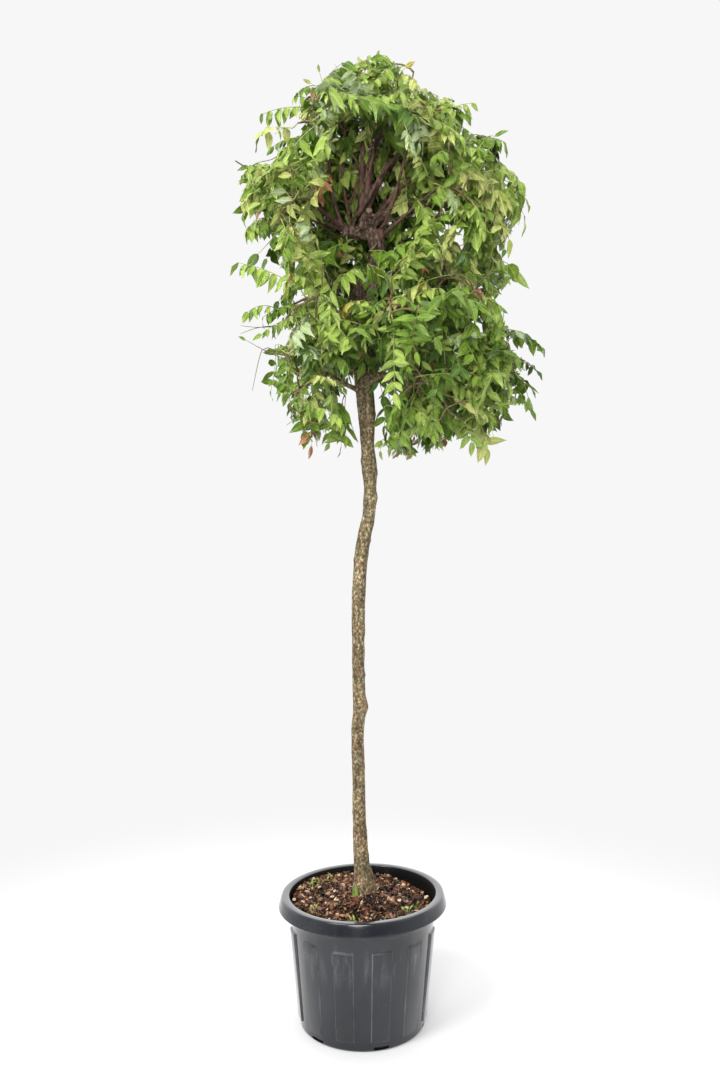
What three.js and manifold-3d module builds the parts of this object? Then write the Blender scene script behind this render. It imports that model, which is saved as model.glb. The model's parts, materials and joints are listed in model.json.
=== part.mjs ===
// A wisteria trained as a standard: one bare stem in a nursery pot, a pruned head of boughs and a crown.
// Millimetres, +Z up. The origin is the middle of the pot's flat underside, and -Y is the front.
import * as THREE from "three";
import { ConvexGeometry } from "three/addons/geometries/ConvexGeometry.js";
import { mergeVertices } from "three/addons/utils/BufferGeometryUtils.js";
import Module from "manifold-3d";

const wasm = await Module();
wasm.setup();

// Driving dimensions

const GAP = 0.3; // between neighbouring solids
const LEAST_HEIGHT = 0.004; // of a triangle where twigs and leaves are joined
const DEGREE = Math.PI / 180;

const pot = {
  height: 371,
  baseRadius: 181,
  bodyRadius: 212, // just under the rim
  wall: 4,
  floor: 5,
  rimRadius: 244, // at the lower edge of the rim's skirt
  rimCrownRadius: 229, // at the top of the rolled rim
  mouthRadius: 219,
  skirtDepth: 30,
  sides: 48,
  ribCount: 12,
  ribDegrees: 16.4,
  ribRise: 3.5,
  ribBottom: 26,
  ribTop: 280,
  notchCount: 6,
  notchWidth: 42,
  notchHeight: 9,
};

const mix = {
  edgeHeight: 328,
  shoulderRadius: 135,
  shoulderHeight: 341,
  moundRadius: 64,
  moundHeight: 360,
};

// Height above the foot, sideways offset from the pot's axis, and thickness of the stem.
const stemStations = [
  [0, 3, 60],
  [34, 2, 51],
  [90, -3, 46],
  [180, -8, 40],
  [330, -11, 37],
  [480, -14, 37],
  [540, -7, 40],
  [610, -11, 37],
  [740, -12, 37],
  [880, -11, 40],
  [1010, -1, 40],
  [1110, 18, 39],
  [1185, 22, 36],
  [1240, 20, 45],
  [1320, 15, 40],
  [1400, 13, 50],
  [1528, 1, 54],
];
const stem = {
  footY: 25, // the foot stands a little behind the pot's axis
  forkY: 10,
  buried: 30, // this much below the foot is cut off flat
  sides: 10,
  steps: 26,
  flareHeight: 70,
  flare: 0.12,
  fluteFrom: 1300,
  fluteTo: 1500,
  flute: 0.08,
};

// The leader runs on from the fork to the pruned head.
const leader = {
  path: [
    [-4, 10, 1950],
    [10, 8, 2050],
    [34, 6, 2150],
    [44, 5, 2240],
    [34, 4, 2298],
  ],
  sizes: [
    [0, 44],
    [0.6, 38],
    [1, 60],
  ], // share of its length, thickness
  sides: 8,
  steps: 9,
};

// Pruned pieces of wood: where each starts inside its parent, its first heading, its end, and its
// thickness at both.
const prunedWood = {
  knuckle: { start: [20, 7, 2062], heading: [-0.6, -0.2, 1], end: [-44, -8, 2172], foot: 32, tip: 46 },
  head_arm: { start: [36, 4, 2290], heading: [-1, -0.25, -0.1], end: [-56, -16, 2296], foot: 34, tip: 38 },
  pruned_upright: { start: [-1, 4, 2300], heading: [-0.03, -0.1, 1], end: [9, 6, 2640], foot: 21, tip: 14 },
  pruned_stub: { start: [1, 10, 1868], heading: [1, -0.3, 0.5], end: [88, -18, 1846], foot: 26, tip: 13 },
};

// Height, sideways offset of the crown's middle, and radius of the crown there.
const crownRows = [
  [1622, 105, 262],
  [1746, 113, 335],
  [1863, 110, 388],
  [1980, 121, 412],
  [2060, 64, 392],
  [2160, 50, 405],
  [2262, 46, 378],
  [2389, 57, 425],
  [2506, 60, 372],
  [2622, 34, 305],
  [2739, 20, 170],
  [2812, 28, 90],
];
const crownY = 5;
const crownHeart = { x: 20, y: 5 }; // the boughs spread from this line

// The gap in the front of the crown that shows the head, slanting down towards the front.
const frontWindow = { left: -84, right: 150, bottom: 2205, top: 2590, slope: 0.373, depth: -25 };
// The bare stretch of stem under the crown.
const stemSpace = { left: -34, right: 72, top: 1884 };

// Each tier of foliage: the reach of its twigs, how far its stems hang, how much its twigs climb, how
// steeply its boughs set out, and the middle of each of its masses.
const tiers = {
  lower: {
    reach: 110,
    hang: 100,
    climb: -0.35,
    rise: 0.5,
    masses: {
      left_front: [-165, -110, 1835],
      left_back: [-150, 125, 1840],
      front_right: [195, -215, 1825],
      right: [375, -20, 1850],
      back_right: [205, 215, 1835],
    },
  },
  middle: {
    reach: 110,
    hang: 60,
    climb: 0,
    rise: 0.4,
    masses: {
      left: [-240, -10, 2085],
      front_left: [-135, -250, 2065],
      front: [65, -290, 2020],
      front_right: [270, -225, 2085],
      right: [390, 30, 2100],
      back_right: [215, 265, 2075],
      back_left: [-110, 255, 2080],
    },
  },
  upper: {
    reach: 110,
    hang: 45,
    climb: 0.1,
    rise: 0.4,
    masses: {
      left: [-255, 10, 2340],
      front_left: [-195, -225, 2310],
      front_right: [245, -225, 2335],
      right: [375, 20, 2360],
      back_right: [195, 275, 2340],
      back_left: [-110, 270, 2335],
    },
  },
  shoulder: {
    reach: 105,
    hang: 0,
    climb: 0.35,
    rise: 1,
    masses: {
      left: [-195, 30, 2545],
      front_left: [-150, -165, 2520],
      front_right: [185, -185, 2545],
      right: [285, 40, 2550],
      back: [45, 235, 2555],
    },
  },
  top: {
    reach: 95,
    hang: -90,
    climb: 0.6,
    rise: 2.4,
    masses: { left: [-60, 25, 2672], right: [105, -15, 2680] },
  },
};

// The boughs that show in the gap in the front of the crown, as points that they pass through.
const boughRoutes = {
  top_left: [
    [-31, 0, 2286],
    [-54, -6, 2418],
    [-60, -6, 2476],
    [-53, 12, 2592],
  ],
  top_right: [
    [7, -2, 2316],
    [25, -12, 2447],
    [39, -16, 2535],
    [90, -15, 2608],
  ],
  shoulder_right: [
    [-7, 2, 2295],
    [51, -8, 2435],
    [104, -4, 2508],
    [208, 20, 2548],
  ],
  shoulder_left: [
    [-36, -8, 2286],
    [-80, -14, 2316],
    [-139, -10, 2368],
    [-182, 0, 2392],
    [-194, 15, 2466],
  ],
  upper_right: [
    [20, -10, 2290],
    [51, -18, 2324],
    [133, -10, 2370],
    [296, 16, 2368],
  ],
};

const bough = {
  foot: 21,
  tip: 12,
  sides: 5,
  steps: 4,
  arch: 0.42, // how far its first heading carries it, as a share of its length
  stop: 80, // short of the middle of its mass
  lift: 0.3, // of its mass's hang
};
const massStem = { foot: 15, tip: 12, sides: 5, steps: 3, arch: 0.45, run: 0.5 };
const twig = {
  span: 440, // of the box round a mass's middle in which goals are guessed
  guesses: 360,
  goals: 9,
  apart: 95, // between two goals
  edge: 15, // between a goal and the edge of its mass's space
  margin: 6, // between a twig's middle line and that edge
  room: 14, // between a twig's middle line and a limb's bark
  goes: 0.6, // as a share of the way to its goal
  lead: 0.2, // a twig starts this much of the stem before the place nearest to its goal
  shrink: 0.82,
  shortest: 28,
  perMass: 6,
  foot: 8,
  tip: 6,
  endPlace: 0.985,
  leafPlaces: [0.7, 0.3],
};
const leaf = {
  perMass: 16,
  stemPlaces: [0.75, 0.45],
  length: 132,
  width: 62,
  thickness: 4,
  fold: 6,
  sag: 12,
  widest: 0.42,
  forward: 0.5,
  sideways: 0.9,
  tries: [
    [1.5, 1.25],
    [2.4, 1.1],
    [0.7, 1],
    [1.8, 0.8],
    [1.1, 0.9],
    [-0.2, 0.75],
  ], // how far the blade may hang and its size, one after the other until it fits
  margin: 0.5, // between a blade and the edge of its mass's space
  barkRoom: 9, // between a blade and a limb's bark
  room: 1.5, // round a blade, when it is tried against its neighbours
  neck: 7, // this much of the blade's foot may cross its twig
};

const colours = {
  pot: { color: 0x3a3e44, roughness: 0.5, metalness: 0 },
  mix: { color: 0x5a3d2e, roughness: 0.95, metalness: 0 },
  stem: { color: 0x958767, roughness: 0.9, metalness: 0 },
  bough: { color: 0x5c463b, roughness: 0.85, metalness: 0 },
  foliage: { color: 0x5b8a35, roughness: 0.6, metalness: 0 },
};

// Small helpers

const vector = (x, y, z) => new THREE.Vector3(x, y, z);
const UP = vector(0, 0, 1);

// The same seed always gives the same numbers, each from 0 to 1.
function seededRandom(seed) {
  let state = seed >>> 0;
  return () => {
    state = (state + 0x6d2b79f5) >>> 0;
    let mixed = Math.imul(state ^ (state >>> 15), state | 1);
    mixed ^= mixed + Math.imul(mixed ^ (mixed >>> 7), mixed | 61);
    return ((mixed ^ (mixed >>> 14)) >>> 0) / 4294967296;
  };
}

// Reads the columns after the first of a table of rows at a height, with straight lines between the rows.
function readRows(rows, height) {
  const last = rows.length - 1;
  let i = 0;
  while (i < last - 1 && height > rows[i + 1][0]) i += 1;
  const [low, high] = [rows[i], rows[i + 1]];
  const share = THREE.MathUtils.clamp((height - low[0]) / (high[0] - low[0]), 0, 1);
  return low.slice(1).map((value, k) => value + (high[k + 1] - value) * share);
}

// A closed three.js geometry as a solid that can be cut and joined.
function solidOf(geometry) {
  const bare = geometry.clone();
  bare.deleteAttribute("normal");
  bare.deleteAttribute("uv");
  const merged = mergeVertices(bare, 1e-4);
  return new wasm.Manifold(
    new wasm.Mesh({
      numProp: 3,
      vertProperties: merged.attributes.position.array,
      triVerts: new Uint32Array(merged.index.array),
    }),
  );
}

function meshOf(solid, name, look) {
  const made = solid.getMesh();
  const geometry = new THREE.BufferGeometry();
  geometry.setAttribute("position", new THREE.BufferAttribute(made.vertProperties, 3));
  geometry.setIndex(new THREE.BufferAttribute(made.triVerts, 1));
  geometry.computeVertexNormals();
  const mesh = new THREE.Mesh(geometry, new THREE.MeshStandardMaterial(look));
  mesh.name = name;
  return mesh;
}

// Drops loose scraps and fills sealed hollows: what is left is the largest closed body.
function largestBody(solid) {
  const bodies = solid.decompose();
  bodies.sort((a, b) => b.volume() - a.volume());
  return bodies[0];
}

// A joint between twigs or leaves is refused where it would leave a sliver of a face.
function hasSliver(solid) {
  const { vertProperties, triVerts } = solid.getMesh();
  const corner = (i) => vector(...vertProperties.subarray(3 * i, 3 * i + 3));
  for (let i = 0; i < triVerts.length; i += 3) {
    const [a, b, c] = [...triVerts.subarray(i, i + 3)].map(corner);
    const longest = Math.max(a.distanceTo(b), b.distanceTo(c), c.distanceTo(a));
    const height = (2 * new THREE.Triangle(a, b, c).getArea()) / longest;
    if (height < LEAST_HEIGHT) return true;
  }
  return false;
}

// Pot

// A profile of [radius, height] points turned round the pot's axis.
function turned(profile) {
  const points = profile.map(([radius, height]) => new THREE.Vector2(radius, height));
  return solidOf(new THREE.LatheGeometry(points, pot.sides).rotateX(Math.PI / 2));
}

const bodyRadiusAt = (height) =>
  THREE.MathUtils.lerp(pot.baseRadius, pot.bodyRadius, height / (pot.height - pot.skirtDepth));

// A ring of equal blocks round the pot, each wide by an angle, between two radii and two heights.
function blocksRound(count, firstDegrees, degrees, inner, outer, bottom, top) {
  const blocks = [];
  for (let i = 0; i < count; i += 1) {
    const middle = (firstDegrees + (i * 360) / count - 90) * DEGREE;
    const half = (degrees / 2) * DEGREE;
    const shape = new THREE.Shape(
      [
        [inner, -half],
        [outer, -half],
        [outer, half],
        [inner, half],
      ].map(([r, a]) => new THREE.Vector2(r * Math.cos(middle + a), r * Math.sin(middle + a))),
    );
    const block = new THREE.ExtrudeGeometry(shape, { depth: top - bottom, bevelEnabled: false });
    blocks.push(solidOf(block.translate(0, 0, bottom)));
  }
  return wasm.Manifold.union(blocks);
}

function buildPot() {
  const skirtBottom = pot.height - pot.skirtDepth;
  const shell = turned([
    [0, 0],
    [pot.baseRadius - 5, 0],
    [bodyRadiusAt(6), 6],
    [bodyRadiusAt(skirtBottom), skirtBottom],
    [pot.rimCrownRadius, pot.height - 8],
    [pot.rimRadius - pot.wall, skirtBottom],
    [pot.rimRadius, skirtBottom],
    [pot.rimRadius - 6, pot.height - 7],
    [pot.rimCrownRadius + 4, pot.height - 1],
    [pot.rimCrownRadius - 4, pot.height],
    [pot.mouthRadius, pot.height - 6],
    [pot.bodyRadius - pot.wall, skirtBottom - 6],
    [pot.baseRadius - pot.wall, pot.floor],
    [0, pot.floor],
  ]);
  const ribs = turned([
    [bodyRadiusAt(pot.ribBottom) - 2, pot.ribBottom],
    [bodyRadiusAt(pot.ribBottom) + 0.6, pot.ribBottom],
    [bodyRadiusAt(pot.ribTop) + pot.ribRise, pot.ribTop - 3],
    [bodyRadiusAt(pot.ribTop) + 0.5, pot.ribTop],
    [bodyRadiusAt(pot.ribTop) - 2, pot.ribTop],
    [bodyRadiusAt(pot.ribBottom) - 2, pot.ribBottom],
  ]).intersect(
    blocksRound(pot.ribCount, 180 / pot.ribCount, pot.ribDegrees, 150, 260, 0, pot.height),
  );
  const notchDegrees = pot.notchWidth / pot.baseRadius / DEGREE;
  const notches = blocksRound(
    pot.notchCount,
    180 / pot.ribCount,
    notchDegrees,
    pot.baseRadius - 9,
    pot.baseRadius + 30,
    -5,
    pot.notchHeight,
  );
  return shell.add(ribs).subtract(notches);
}

function buildMix() {
  const skirtBottom = pot.height - pot.skirtDepth;
  const innerFoot = pot.baseRadius - pot.wall - GAP;
  const innerTop = pot.bodyRadius - pot.wall - GAP;
  const slope = (innerTop - innerFoot) / (skirtBottom - 6 - pot.floor);
  const bottom = pot.floor + GAP;
  return turned([
    [0, bottom],
    [innerFoot, bottom],
    [innerFoot + slope * (mix.edgeHeight - bottom), mix.edgeHeight],
    [mix.shoulderRadius, mix.shoulderHeight],
    [mix.moundRadius, mix.moundHeight],
    [0, mix.moundHeight],
  ]);
}

// Stem and boughs

// A limb is a cylinder whose rings are moved on to a curve, radiusAt(share, angle) thick.
function limbSolid({ curve, radiusAt, sides, steps }, extra = 0) {
  const frames = curve.computeFrenetFrames(steps, false);
  const geometry = new THREE.CylinderGeometry(1, 1, 1, sides, steps);
  const place = geometry.attributes.position;
  for (let i = 0; i < place.count; i += 1) {
    const ring = Math.round((place.getY(i) + 0.5) * steps);
    const angle = Math.atan2(place.getZ(i), place.getX(i));
    const isCapMiddle = Math.hypot(place.getX(i), place.getZ(i)) < 0.5;
    const spoke = isCapMiddle ? 0 : radiusAt(ring / steps, angle) + extra;
    const point = curve
      .getPointAt(ring / steps)
      .addScaledVector(frames.normals[ring], spoke * Math.cos(angle))
      .addScaledVector(frames.binormals[ring], -spoke * Math.sin(angle));
    place.setXYZ(i, point.x, point.y, point.z);
  }
  return solidOf(geometry);
}

const taper = (foot, tip) => (share) => THREE.MathUtils.lerp(foot, tip, share) / 2;

function trunkLimb() {
  const top = stemStations.at(-1)[0];
  const points = stemStations.map(([height, x]) =>
    vector(x, THREE.MathUtils.lerp(stem.footY, stem.forkY, height / top), mix.moundHeight + height),
  );
  points.unshift(points[0].clone().add(vector(0, 0, -stem.buried)));
  const curve = new THREE.CatmullRomCurve3(points);
  // The root flares at the foot, and the boughs' wood runs down from the fork in flutes.
  const radiusAt = (share, angle) => {
    const height = curve.getPointAt(share).z - mix.moundHeight;
    const flare = Math.max(0, 1 - height / stem.flareHeight) * stem.flare * Math.cos(3 * angle + 0.6);
    const flute = THREE.MathUtils.smoothstep(height, stem.fluteFrom, stem.fluteTo) * stem.flute;
    return (readRows(stemStations, height)[1] / 2) * (1 + flare + flute * Math.cos(4 * angle));
  };
  return { name: "trunk", curve, sides: stem.sides, steps: stem.steps, radiusAt };
}

function leaderLimb(fork) {
  const points = leader.path.map((point) => vector(...point));
  return {
    name: "leader",
    curve: new THREE.CatmullRomCurve3([fork.clone().add(vector(0, 0, GAP)), ...points]),
    sides: leader.sides,
    steps: leader.steps,
    radiusAt: (share) => readRows(leader.sizes, share)[0] / 2,
  };
}

// A bending line that leaves its start in one direction and is carried that way for a share of its length.
function archedCurve(start, heading, end, arch) {
  const knee = start.clone().addScaledVector(heading.clone().normalize(), start.distanceTo(end) * arch);
  return new THREE.QuadraticBezierCurve3(start, knee, end);
}

function boughLimb(name, curve, foot, tip) {
  return { name, curve, sides: bough.sides, steps: bough.steps, radiusAt: taper(foot, tip) };
}

function prunedLimbs() {
  return Object.entries(prunedWood).map(([name, { start, heading, end, foot, tip }]) => {
    const curve = archedCurve(vector(...start), vector(...heading), vector(...end), 0.5);
    return boughLimb(name, curve, foot, tip);
  });
}

// Crown

const radial = (degrees) => vector(Math.cos(degrees * DEGREE), Math.sin(degrees * DEGREE), 0);

function crownAt(height) {
  const [x, radius] = readRows(crownRows, height);
  return { middle: vector(x, crownY, height), radius };
}

// The middle of every mass, named after its tier and its side, and the direction it lies in from the heart.
function massList() {
  return Object.entries(tiers).flatMap(([tierName, tier]) =>
    Object.entries(tier.masses).map(([side, middle]) => {
      const centre = vector(...middle);
      const outward = vector(centre.x - crownHeart.x, centre.y - crownHeart.y, 0).normalize();
      return { name: tierName + "_" + side, tierName, tier, outward, centre };
    }),
  );
}

// Each mass keeps to the points that lie nearer to its own middle than to any other,
// inside the crown's outline and outside the gap in its front and the space round the stem.
function staysInSpace(point, mass, masses, margin) {
  const { middle, radius } = crownAt(point.z);
  if (point.z < crownRows[0][0] || point.z > crownRows.at(-1)[0]) return false;
  if (Math.hypot(point.x - middle.x, point.y - middle.y) > radius) return false;
  const raised = point.z - point.y * frontWindow.slope;
  const inWindow =
    point.y < frontWindow.depth &&
    point.x > frontWindow.left &&
    point.x < frontWindow.right &&
    raised > frontWindow.bottom &&
    raised < frontWindow.top;
  if (inWindow) return false;
  if (point.z < stemSpace.top && point.x > stemSpace.left && point.x < stemSpace.right) return false;
  const own = point.distanceTo(mass.centre);
  return masses.every((other) => {
    if (other === mass) return true;
    const apart = mass.centre.distanceTo(other.centre);
    const away = (point.distanceToSquared(other.centre) - own * own) / (2 * apart);
    return away > margin;
  });
}

// Points down the middle of a limb with its radius at each, close enough together to test against.
function limbSamples({ curve, radiusAt }) {
  const count = Math.ceil(curve.getLength() / 8);
  return Array.from({ length: count + 1 }, (_, i) => ({
    point: curve.getPointAt(i / count),
    radius: radiusAt(i / count, 0),
  }));
}

const clearOfLimbs = (point, samples, room) =>
  samples.every((sample) => point.distanceTo(sample.point) > sample.radius + room);

const twigSolid = (curve, foot, tip, sides, steps) =>
  limbSolid({ curve, sides, steps, radiusAt: taper(foot, tip) });

// The blade's frame: along, across and up.
function leafFrame(direction) {
  const along = direction.clone().normalize();
  const across = vector(0, 0, 0).crossVectors(UP, along);
  if (across.length() < 0.05) across.set(1, 0, 0);
  across.normalize();
  return { along, across, up: vector(0, 0, 0).crossVectors(along, across) };
}

// Five corners and six faces: a root that is sunk in the twig, the two shoulders of the blade, the raised
// middle between them, and the tip. Room makes the blade that is tried against its neighbours.
function leafSolid(root, direction, size, room = 0) {
  const { along, across, up } = leafFrame(direction);
  const at = (a, b, c) =>
    root.clone().addScaledVector(along, a).addScaledVector(across, b).addScaledVector(up, c);
  const length = leaf.length * size;
  const half = (leaf.width * size) / 2 + room;
  const widest = length * leaf.widest;
  const corners = [
    at(room > 0 ? leaf.neck : 0, 0, 0),
    at(widest, half, -leaf.fold - room),
    at(widest, -half, -leaf.fold - room),
    at(widest, 0, leaf.thickness - leaf.fold + room),
    at(length + room, 0, -leaf.sag * size),
  ];
  return { solid: solidOf(new ConvexGeometry(corners)), corners };
}

// Points spread over the blade, to test it against the limbs.
function bladePoints([root, left, right, , tip]) {
  const points = [];
  for (let along = 0.1; along <= 1.001; along += 0.1) {
    for (const side of [left, right]) {
      const edge =
        along < leaf.widest
          ? root.clone().lerp(side, along / leaf.widest)
          : side.clone().lerp(tip, (along - leaf.widest) / (1 - leaf.widest));
      const middle = root.clone().lerp(tip, along);
      points.push(edge, middle, middle.clone().lerp(edge, 0.5));
    }
  }
  return points;
}

// The stem of a mass runs on from its bough's tip, out through the mass and down.
function stemOf({ centre, outward, tier }, boughCurve) {
  const heading = boughCurve.getTangent(1);
  const start = boughCurve.getPoint(1).addScaledVector(heading, GAP);
  const end = centre.clone().addScaledVector(outward, tier.reach * massStem.run);
  return archedCurve(start, heading, end.addScaledVector(UP, -tier.hang), massStem.arch);
}

// The points that a mass's twigs set out for: seeded guesses that lie well apart in its space.
function twigGoals(mass, masses, random) {
  const goals = [];
  for (let n = 0; n < twig.guesses && goals.length < twig.goals; n += 1) {
    const offset = vector(random() - 0.5, random() - 0.5, random() - 0.5);
    const guess = mass.centre.clone().addScaledVector(offset, twig.span);
    const apart = goals.every((goal) => goal.distanceTo(guess) > twig.apart);
    if (apart && staysInSpace(guess, mass, masses, twig.edge)) goals.push(guess);
  }
  return goals;
}

// A twig goes part of the way to its goal, and is shortened until it fits.
function twigTowards(mass, goal, fits) {
  const shares = Array.from({ length: 12 }, (_, i) => 0.08 * (i + 1));
  const distance = (share) => mass.stem.getPoint(share).distanceTo(goal);
  const nearest = shares.reduce((best, share) => (distance(share) < distance(best) ? share : best));
  const start = mass.stem.getPoint(Math.max(0.1, nearest - twig.lead));
  const direction = goal.clone().sub(start).normalize();
  let length = goal.distanceTo(start) * twig.goes;
  for (; length > twig.shortest; length *= twig.shrink) {
    const curve = new THREE.LineCurve3(start, start.clone().addScaledVector(direction, length));
    if (fits(curve)) return curve;
  }
  return null;
}

function twigsOf(mass, masses, samples, random) {
  const fits = (curve) =>
    [0.25, 0.5, 0.75, 1].every((share) => {
      const point = curve.getPoint(share);
      return staysInSpace(point, mass, masses, twig.margin) && clearOfLimbs(point, samples, twig.room);
    });
  return twigGoals(mass, masses, random)
    .map((goal) => twigTowards(mass, goal, fits))
    .filter((curve) => curve);
}

// One leaf stands at a twig's end, and the others in pairs at the given places along it.
function leafPlacesOn(curve, shares) {
  const places = [{ root: curve.getPoint(twig.endPlace), direction: curve.getTangent(1).clone() }];
  for (const share of shares) {
    const { along, across } = leafFrame(curve.getTangent(share));
    for (const side of [leaf.sideways, -leaf.sideways]) {
      const direction = along.clone().multiplyScalar(leaf.forward).addScaledVector(across, side);
      places.push({ root: curve.getPoint(share), direction });
    }
  }
  return places;
}

// Adds a leaf at its place, hanging and as big as it fits, or returns the mass as it was.
function addLeaf(grown, { root, direction }, chance, mass, masses, samples) {
  for (const [hang, size] of leaf.tries) {
    const heading = direction.clone().addScaledVector(UP, mass.tier.climb - hang * chance);
    const { solid, corners } = leafSolid(root, heading, size);
    const inside = corners.every((corner) => staysInSpace(corner, mass, masses, leaf.margin));
    const clear = bladePoints(corners).every((point) => clearOfLimbs(point, samples, leaf.barkRoom));
    if (!inside || !clear) continue;
    const blade = leafSolid(root, heading, size, leaf.room).solid;
    const joined = grown.add(solid);
    if (grown.intersect(blade).volume() === 0 && !hasSliver(joined)) return joined;
  }
  return grown;
}

function growMass(mass, masses, samples, seed) {
  const random = seededRandom(seed);
  let grown = twigSolid(mass.stem, massStem.foot, massStem.tip, massStem.sides, massStem.steps);
  const twigs = [];
  for (const curve of twigsOf(mass, masses, samples, random)) {
    const joined = grown.add(twigSolid(curve, twig.foot, twig.tip, 3, 1));
    if (twigs.length === twig.perMass || hasSliver(joined)) continue;
    grown = joined;
    twigs.push(curve);
  }
  // Every twig gets its first leaf before any gets its second.
  const rows = twigs.map((curve) => leafPlacesOn(curve, twig.leafPlaces));
  rows.push(leafPlacesOn(mass.stem, leaf.stemPlaces));
  const places = rows[0].flatMap((_, k) => rows.map((row) => row[k]));
  let leaves = 0;
  for (const place of places) {
    if (leaves === leaf.perMass) break;
    const before = grown;
    grown = addLeaf(grown, place, random(), mass, masses, samples);
    if (grown !== before) leaves += 1;
  }
  return { solid: largestBody(grown), leaves };
}

// Assembly

const trunk = trunkLimb();
const leaderPart = leaderLimb(trunk.curve.getPointAt(1));
const pruned = prunedLimbs();
const [knuckle, headArm] = pruned;
const masses = massList();

// Where a mass's bough starts: under the fork, on the low knuckle or the leader, or in the head.
function boughStart({ tierName, centre }, index) {
  const leftward = centre.x < -100;
  if (tierName === "lower") return trunk.curve.getPointAt(0.955 + 0.008 * index);
  if (tierName !== "middle") return (leftward ? headArm : leaderPart).curve.getPointAt(0.93);
  return leftward ? knuckle.curve.getPointAt(0.9) : leaderPart.curve.getPointAt(0.1 + 0.06 * (index - 5));
}

// A bough follows its route, or else sets out outwards and up, and it ends just inside its mass.
function boughFor(mass, index) {
  const { tier, outward, centre } = mass;
  const name = "bough_" + mass.name;
  const route = boughRoutes[mass.name];
  if (route) {
    const curve = new THREE.CatmullRomCurve3(route.map((point) => vector(...point)));
    return boughLimb(name, curve, bough.foot, bough.tip);
  }
  const end = centre.clone().addScaledVector(outward, -bough.stop);
  end.addScaledVector(UP, tier.hang * bough.lift);
  const heading = outward.clone().addScaledVector(UP, tier.rise);
  const curve = archedCurve(boughStart(mass, index), heading, end, bough.arch);
  return boughLimb(name, curve, bough.foot, bough.tip);
}

const boughs = masses.map((mass, index) => boughFor(mass, index));
const limbs = [trunk, leaderPart, ...pruned, ...boughs];
masses.forEach((mass, index) => {
  mass.stem = stemOf(mass, boughs[index].curve);
});

const parts = new THREE.Group();
parts.add(meshOf(buildPot(), "pot", colours.pot));
parts.add(meshOf(buildMix(), "potting_mix", colours.mix));

// The stem is cut off flat where it stands on the potting mix, and each limb is cut back from the
// ones before it, so that neighbours meet with the gap between them.
const ground = new THREE.BoxGeometry(400, 400, 200).translate(0, 0, mix.moundHeight + GAP - 100);
const cutters = [solidOf(ground)];
for (const limb of limbs) {
  const solid = cutters.reduce((left, cutter) => left.subtract(cutter), limbSolid(limb));
  parts.add(meshOf(largestBody(solid), limb.name, limb === trunk ? colours.stem : colours.bough));
  cutters.push(limbSolid(limb, GAP));
}

const samples = limbs.flatMap((limb) => limbSamples(limb));
let leafCount = 0;
masses.forEach((mass, index) => {
  const grown = growMass(mass, masses, samples, 101 + index);
  leafCount += grown.leaves;
  parts.add(meshOf(grown.solid, "foliage_" + mass.name, colours.foliage));
});
console.log(leafCount + " leaves in " + masses.length + " masses");

export default parts;
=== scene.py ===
# %% [markdown]
# # A wisteria grown as a small tree, in its nursery pot
#
# The plant stands in a dark plastic pot on a layer of bark chips. One bare stem carries a pruned head
# of old wood, and from that head younger boughs, twigs and long feathered leaves make a ragged crown.
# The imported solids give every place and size. This script dresses them: it loads them as a fixed
# frame, models what they stand for in finer detail, and hides the ones that it has replaced.

# %% Load the frame
import json
import math

import bpy
import numpy as np
from mathutils import Matrix, Vector, noise
from mathutils.kdtree import KDTree

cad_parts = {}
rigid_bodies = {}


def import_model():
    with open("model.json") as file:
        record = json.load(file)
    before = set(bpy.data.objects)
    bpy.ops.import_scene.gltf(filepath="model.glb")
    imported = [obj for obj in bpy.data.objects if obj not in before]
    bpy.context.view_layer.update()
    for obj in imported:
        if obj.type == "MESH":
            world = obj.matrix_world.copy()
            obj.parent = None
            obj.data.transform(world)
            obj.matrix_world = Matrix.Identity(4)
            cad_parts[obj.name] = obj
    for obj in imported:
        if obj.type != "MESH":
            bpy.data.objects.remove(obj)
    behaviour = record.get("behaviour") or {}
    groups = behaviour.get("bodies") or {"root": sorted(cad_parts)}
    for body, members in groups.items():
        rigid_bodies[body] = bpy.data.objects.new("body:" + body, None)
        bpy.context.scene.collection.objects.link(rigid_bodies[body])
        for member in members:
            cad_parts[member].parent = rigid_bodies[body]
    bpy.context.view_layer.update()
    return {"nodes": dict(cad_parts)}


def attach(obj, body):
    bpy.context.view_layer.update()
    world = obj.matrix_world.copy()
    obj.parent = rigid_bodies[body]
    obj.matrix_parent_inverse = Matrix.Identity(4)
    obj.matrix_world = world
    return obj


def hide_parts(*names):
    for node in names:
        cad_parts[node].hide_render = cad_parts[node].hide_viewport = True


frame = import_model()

nodes = sorted(frame["nodes"])

# %% [markdown]
# ## Camera, light and floor
#
# The photograph was taken level, from 2.7 m in front of the stem and 1.4 m above the floor. A camera's
# lens is set in millimetres against a 36 mm sensor, so the focal length in pixels is turned into that.
# The light is soft and white from above, behind and both sides, as in a white tent that is open towards
# the camera, so a shiny front mirrors something darker there. The world's colour is therefore dealt out
# by direction, while a camera's own rays always meet plain white. One large lamp above and to the left
# gives the leaves their shine, and two weaker ones fill in.

# %% The camera
PHOTO_TALL = 1080  # pixels
FOCAL_PIXELS = 921
CAMERA_PLACE = (-0.0073, -2.690, 1.396)

camera_data = bpy.data.cameras.new("camera")
camera_data.sensor_width = 36
camera_data.lens = FOCAL_PIXELS / PHOTO_TALL * camera_data.sensor_width
camera = bpy.data.objects.new("camera", camera_data)
camera.location = CAMERA_PLACE
camera.rotation_euler = (math.pi / 2, 0, 0)
bpy.context.scene.collection.objects.link(camera)
bpy.context.scene.camera = camera
print("lens", round(camera_data.lens, 2), "mm")

# %% Node helpers
def new_material(name):
    """A material, its node tree, and the shader in it."""
    material = bpy.data.materials.new(name)
    material.use_nodes = True
    return material, material.node_tree, material.node_tree.nodes["Principled BSDF"]


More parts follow.
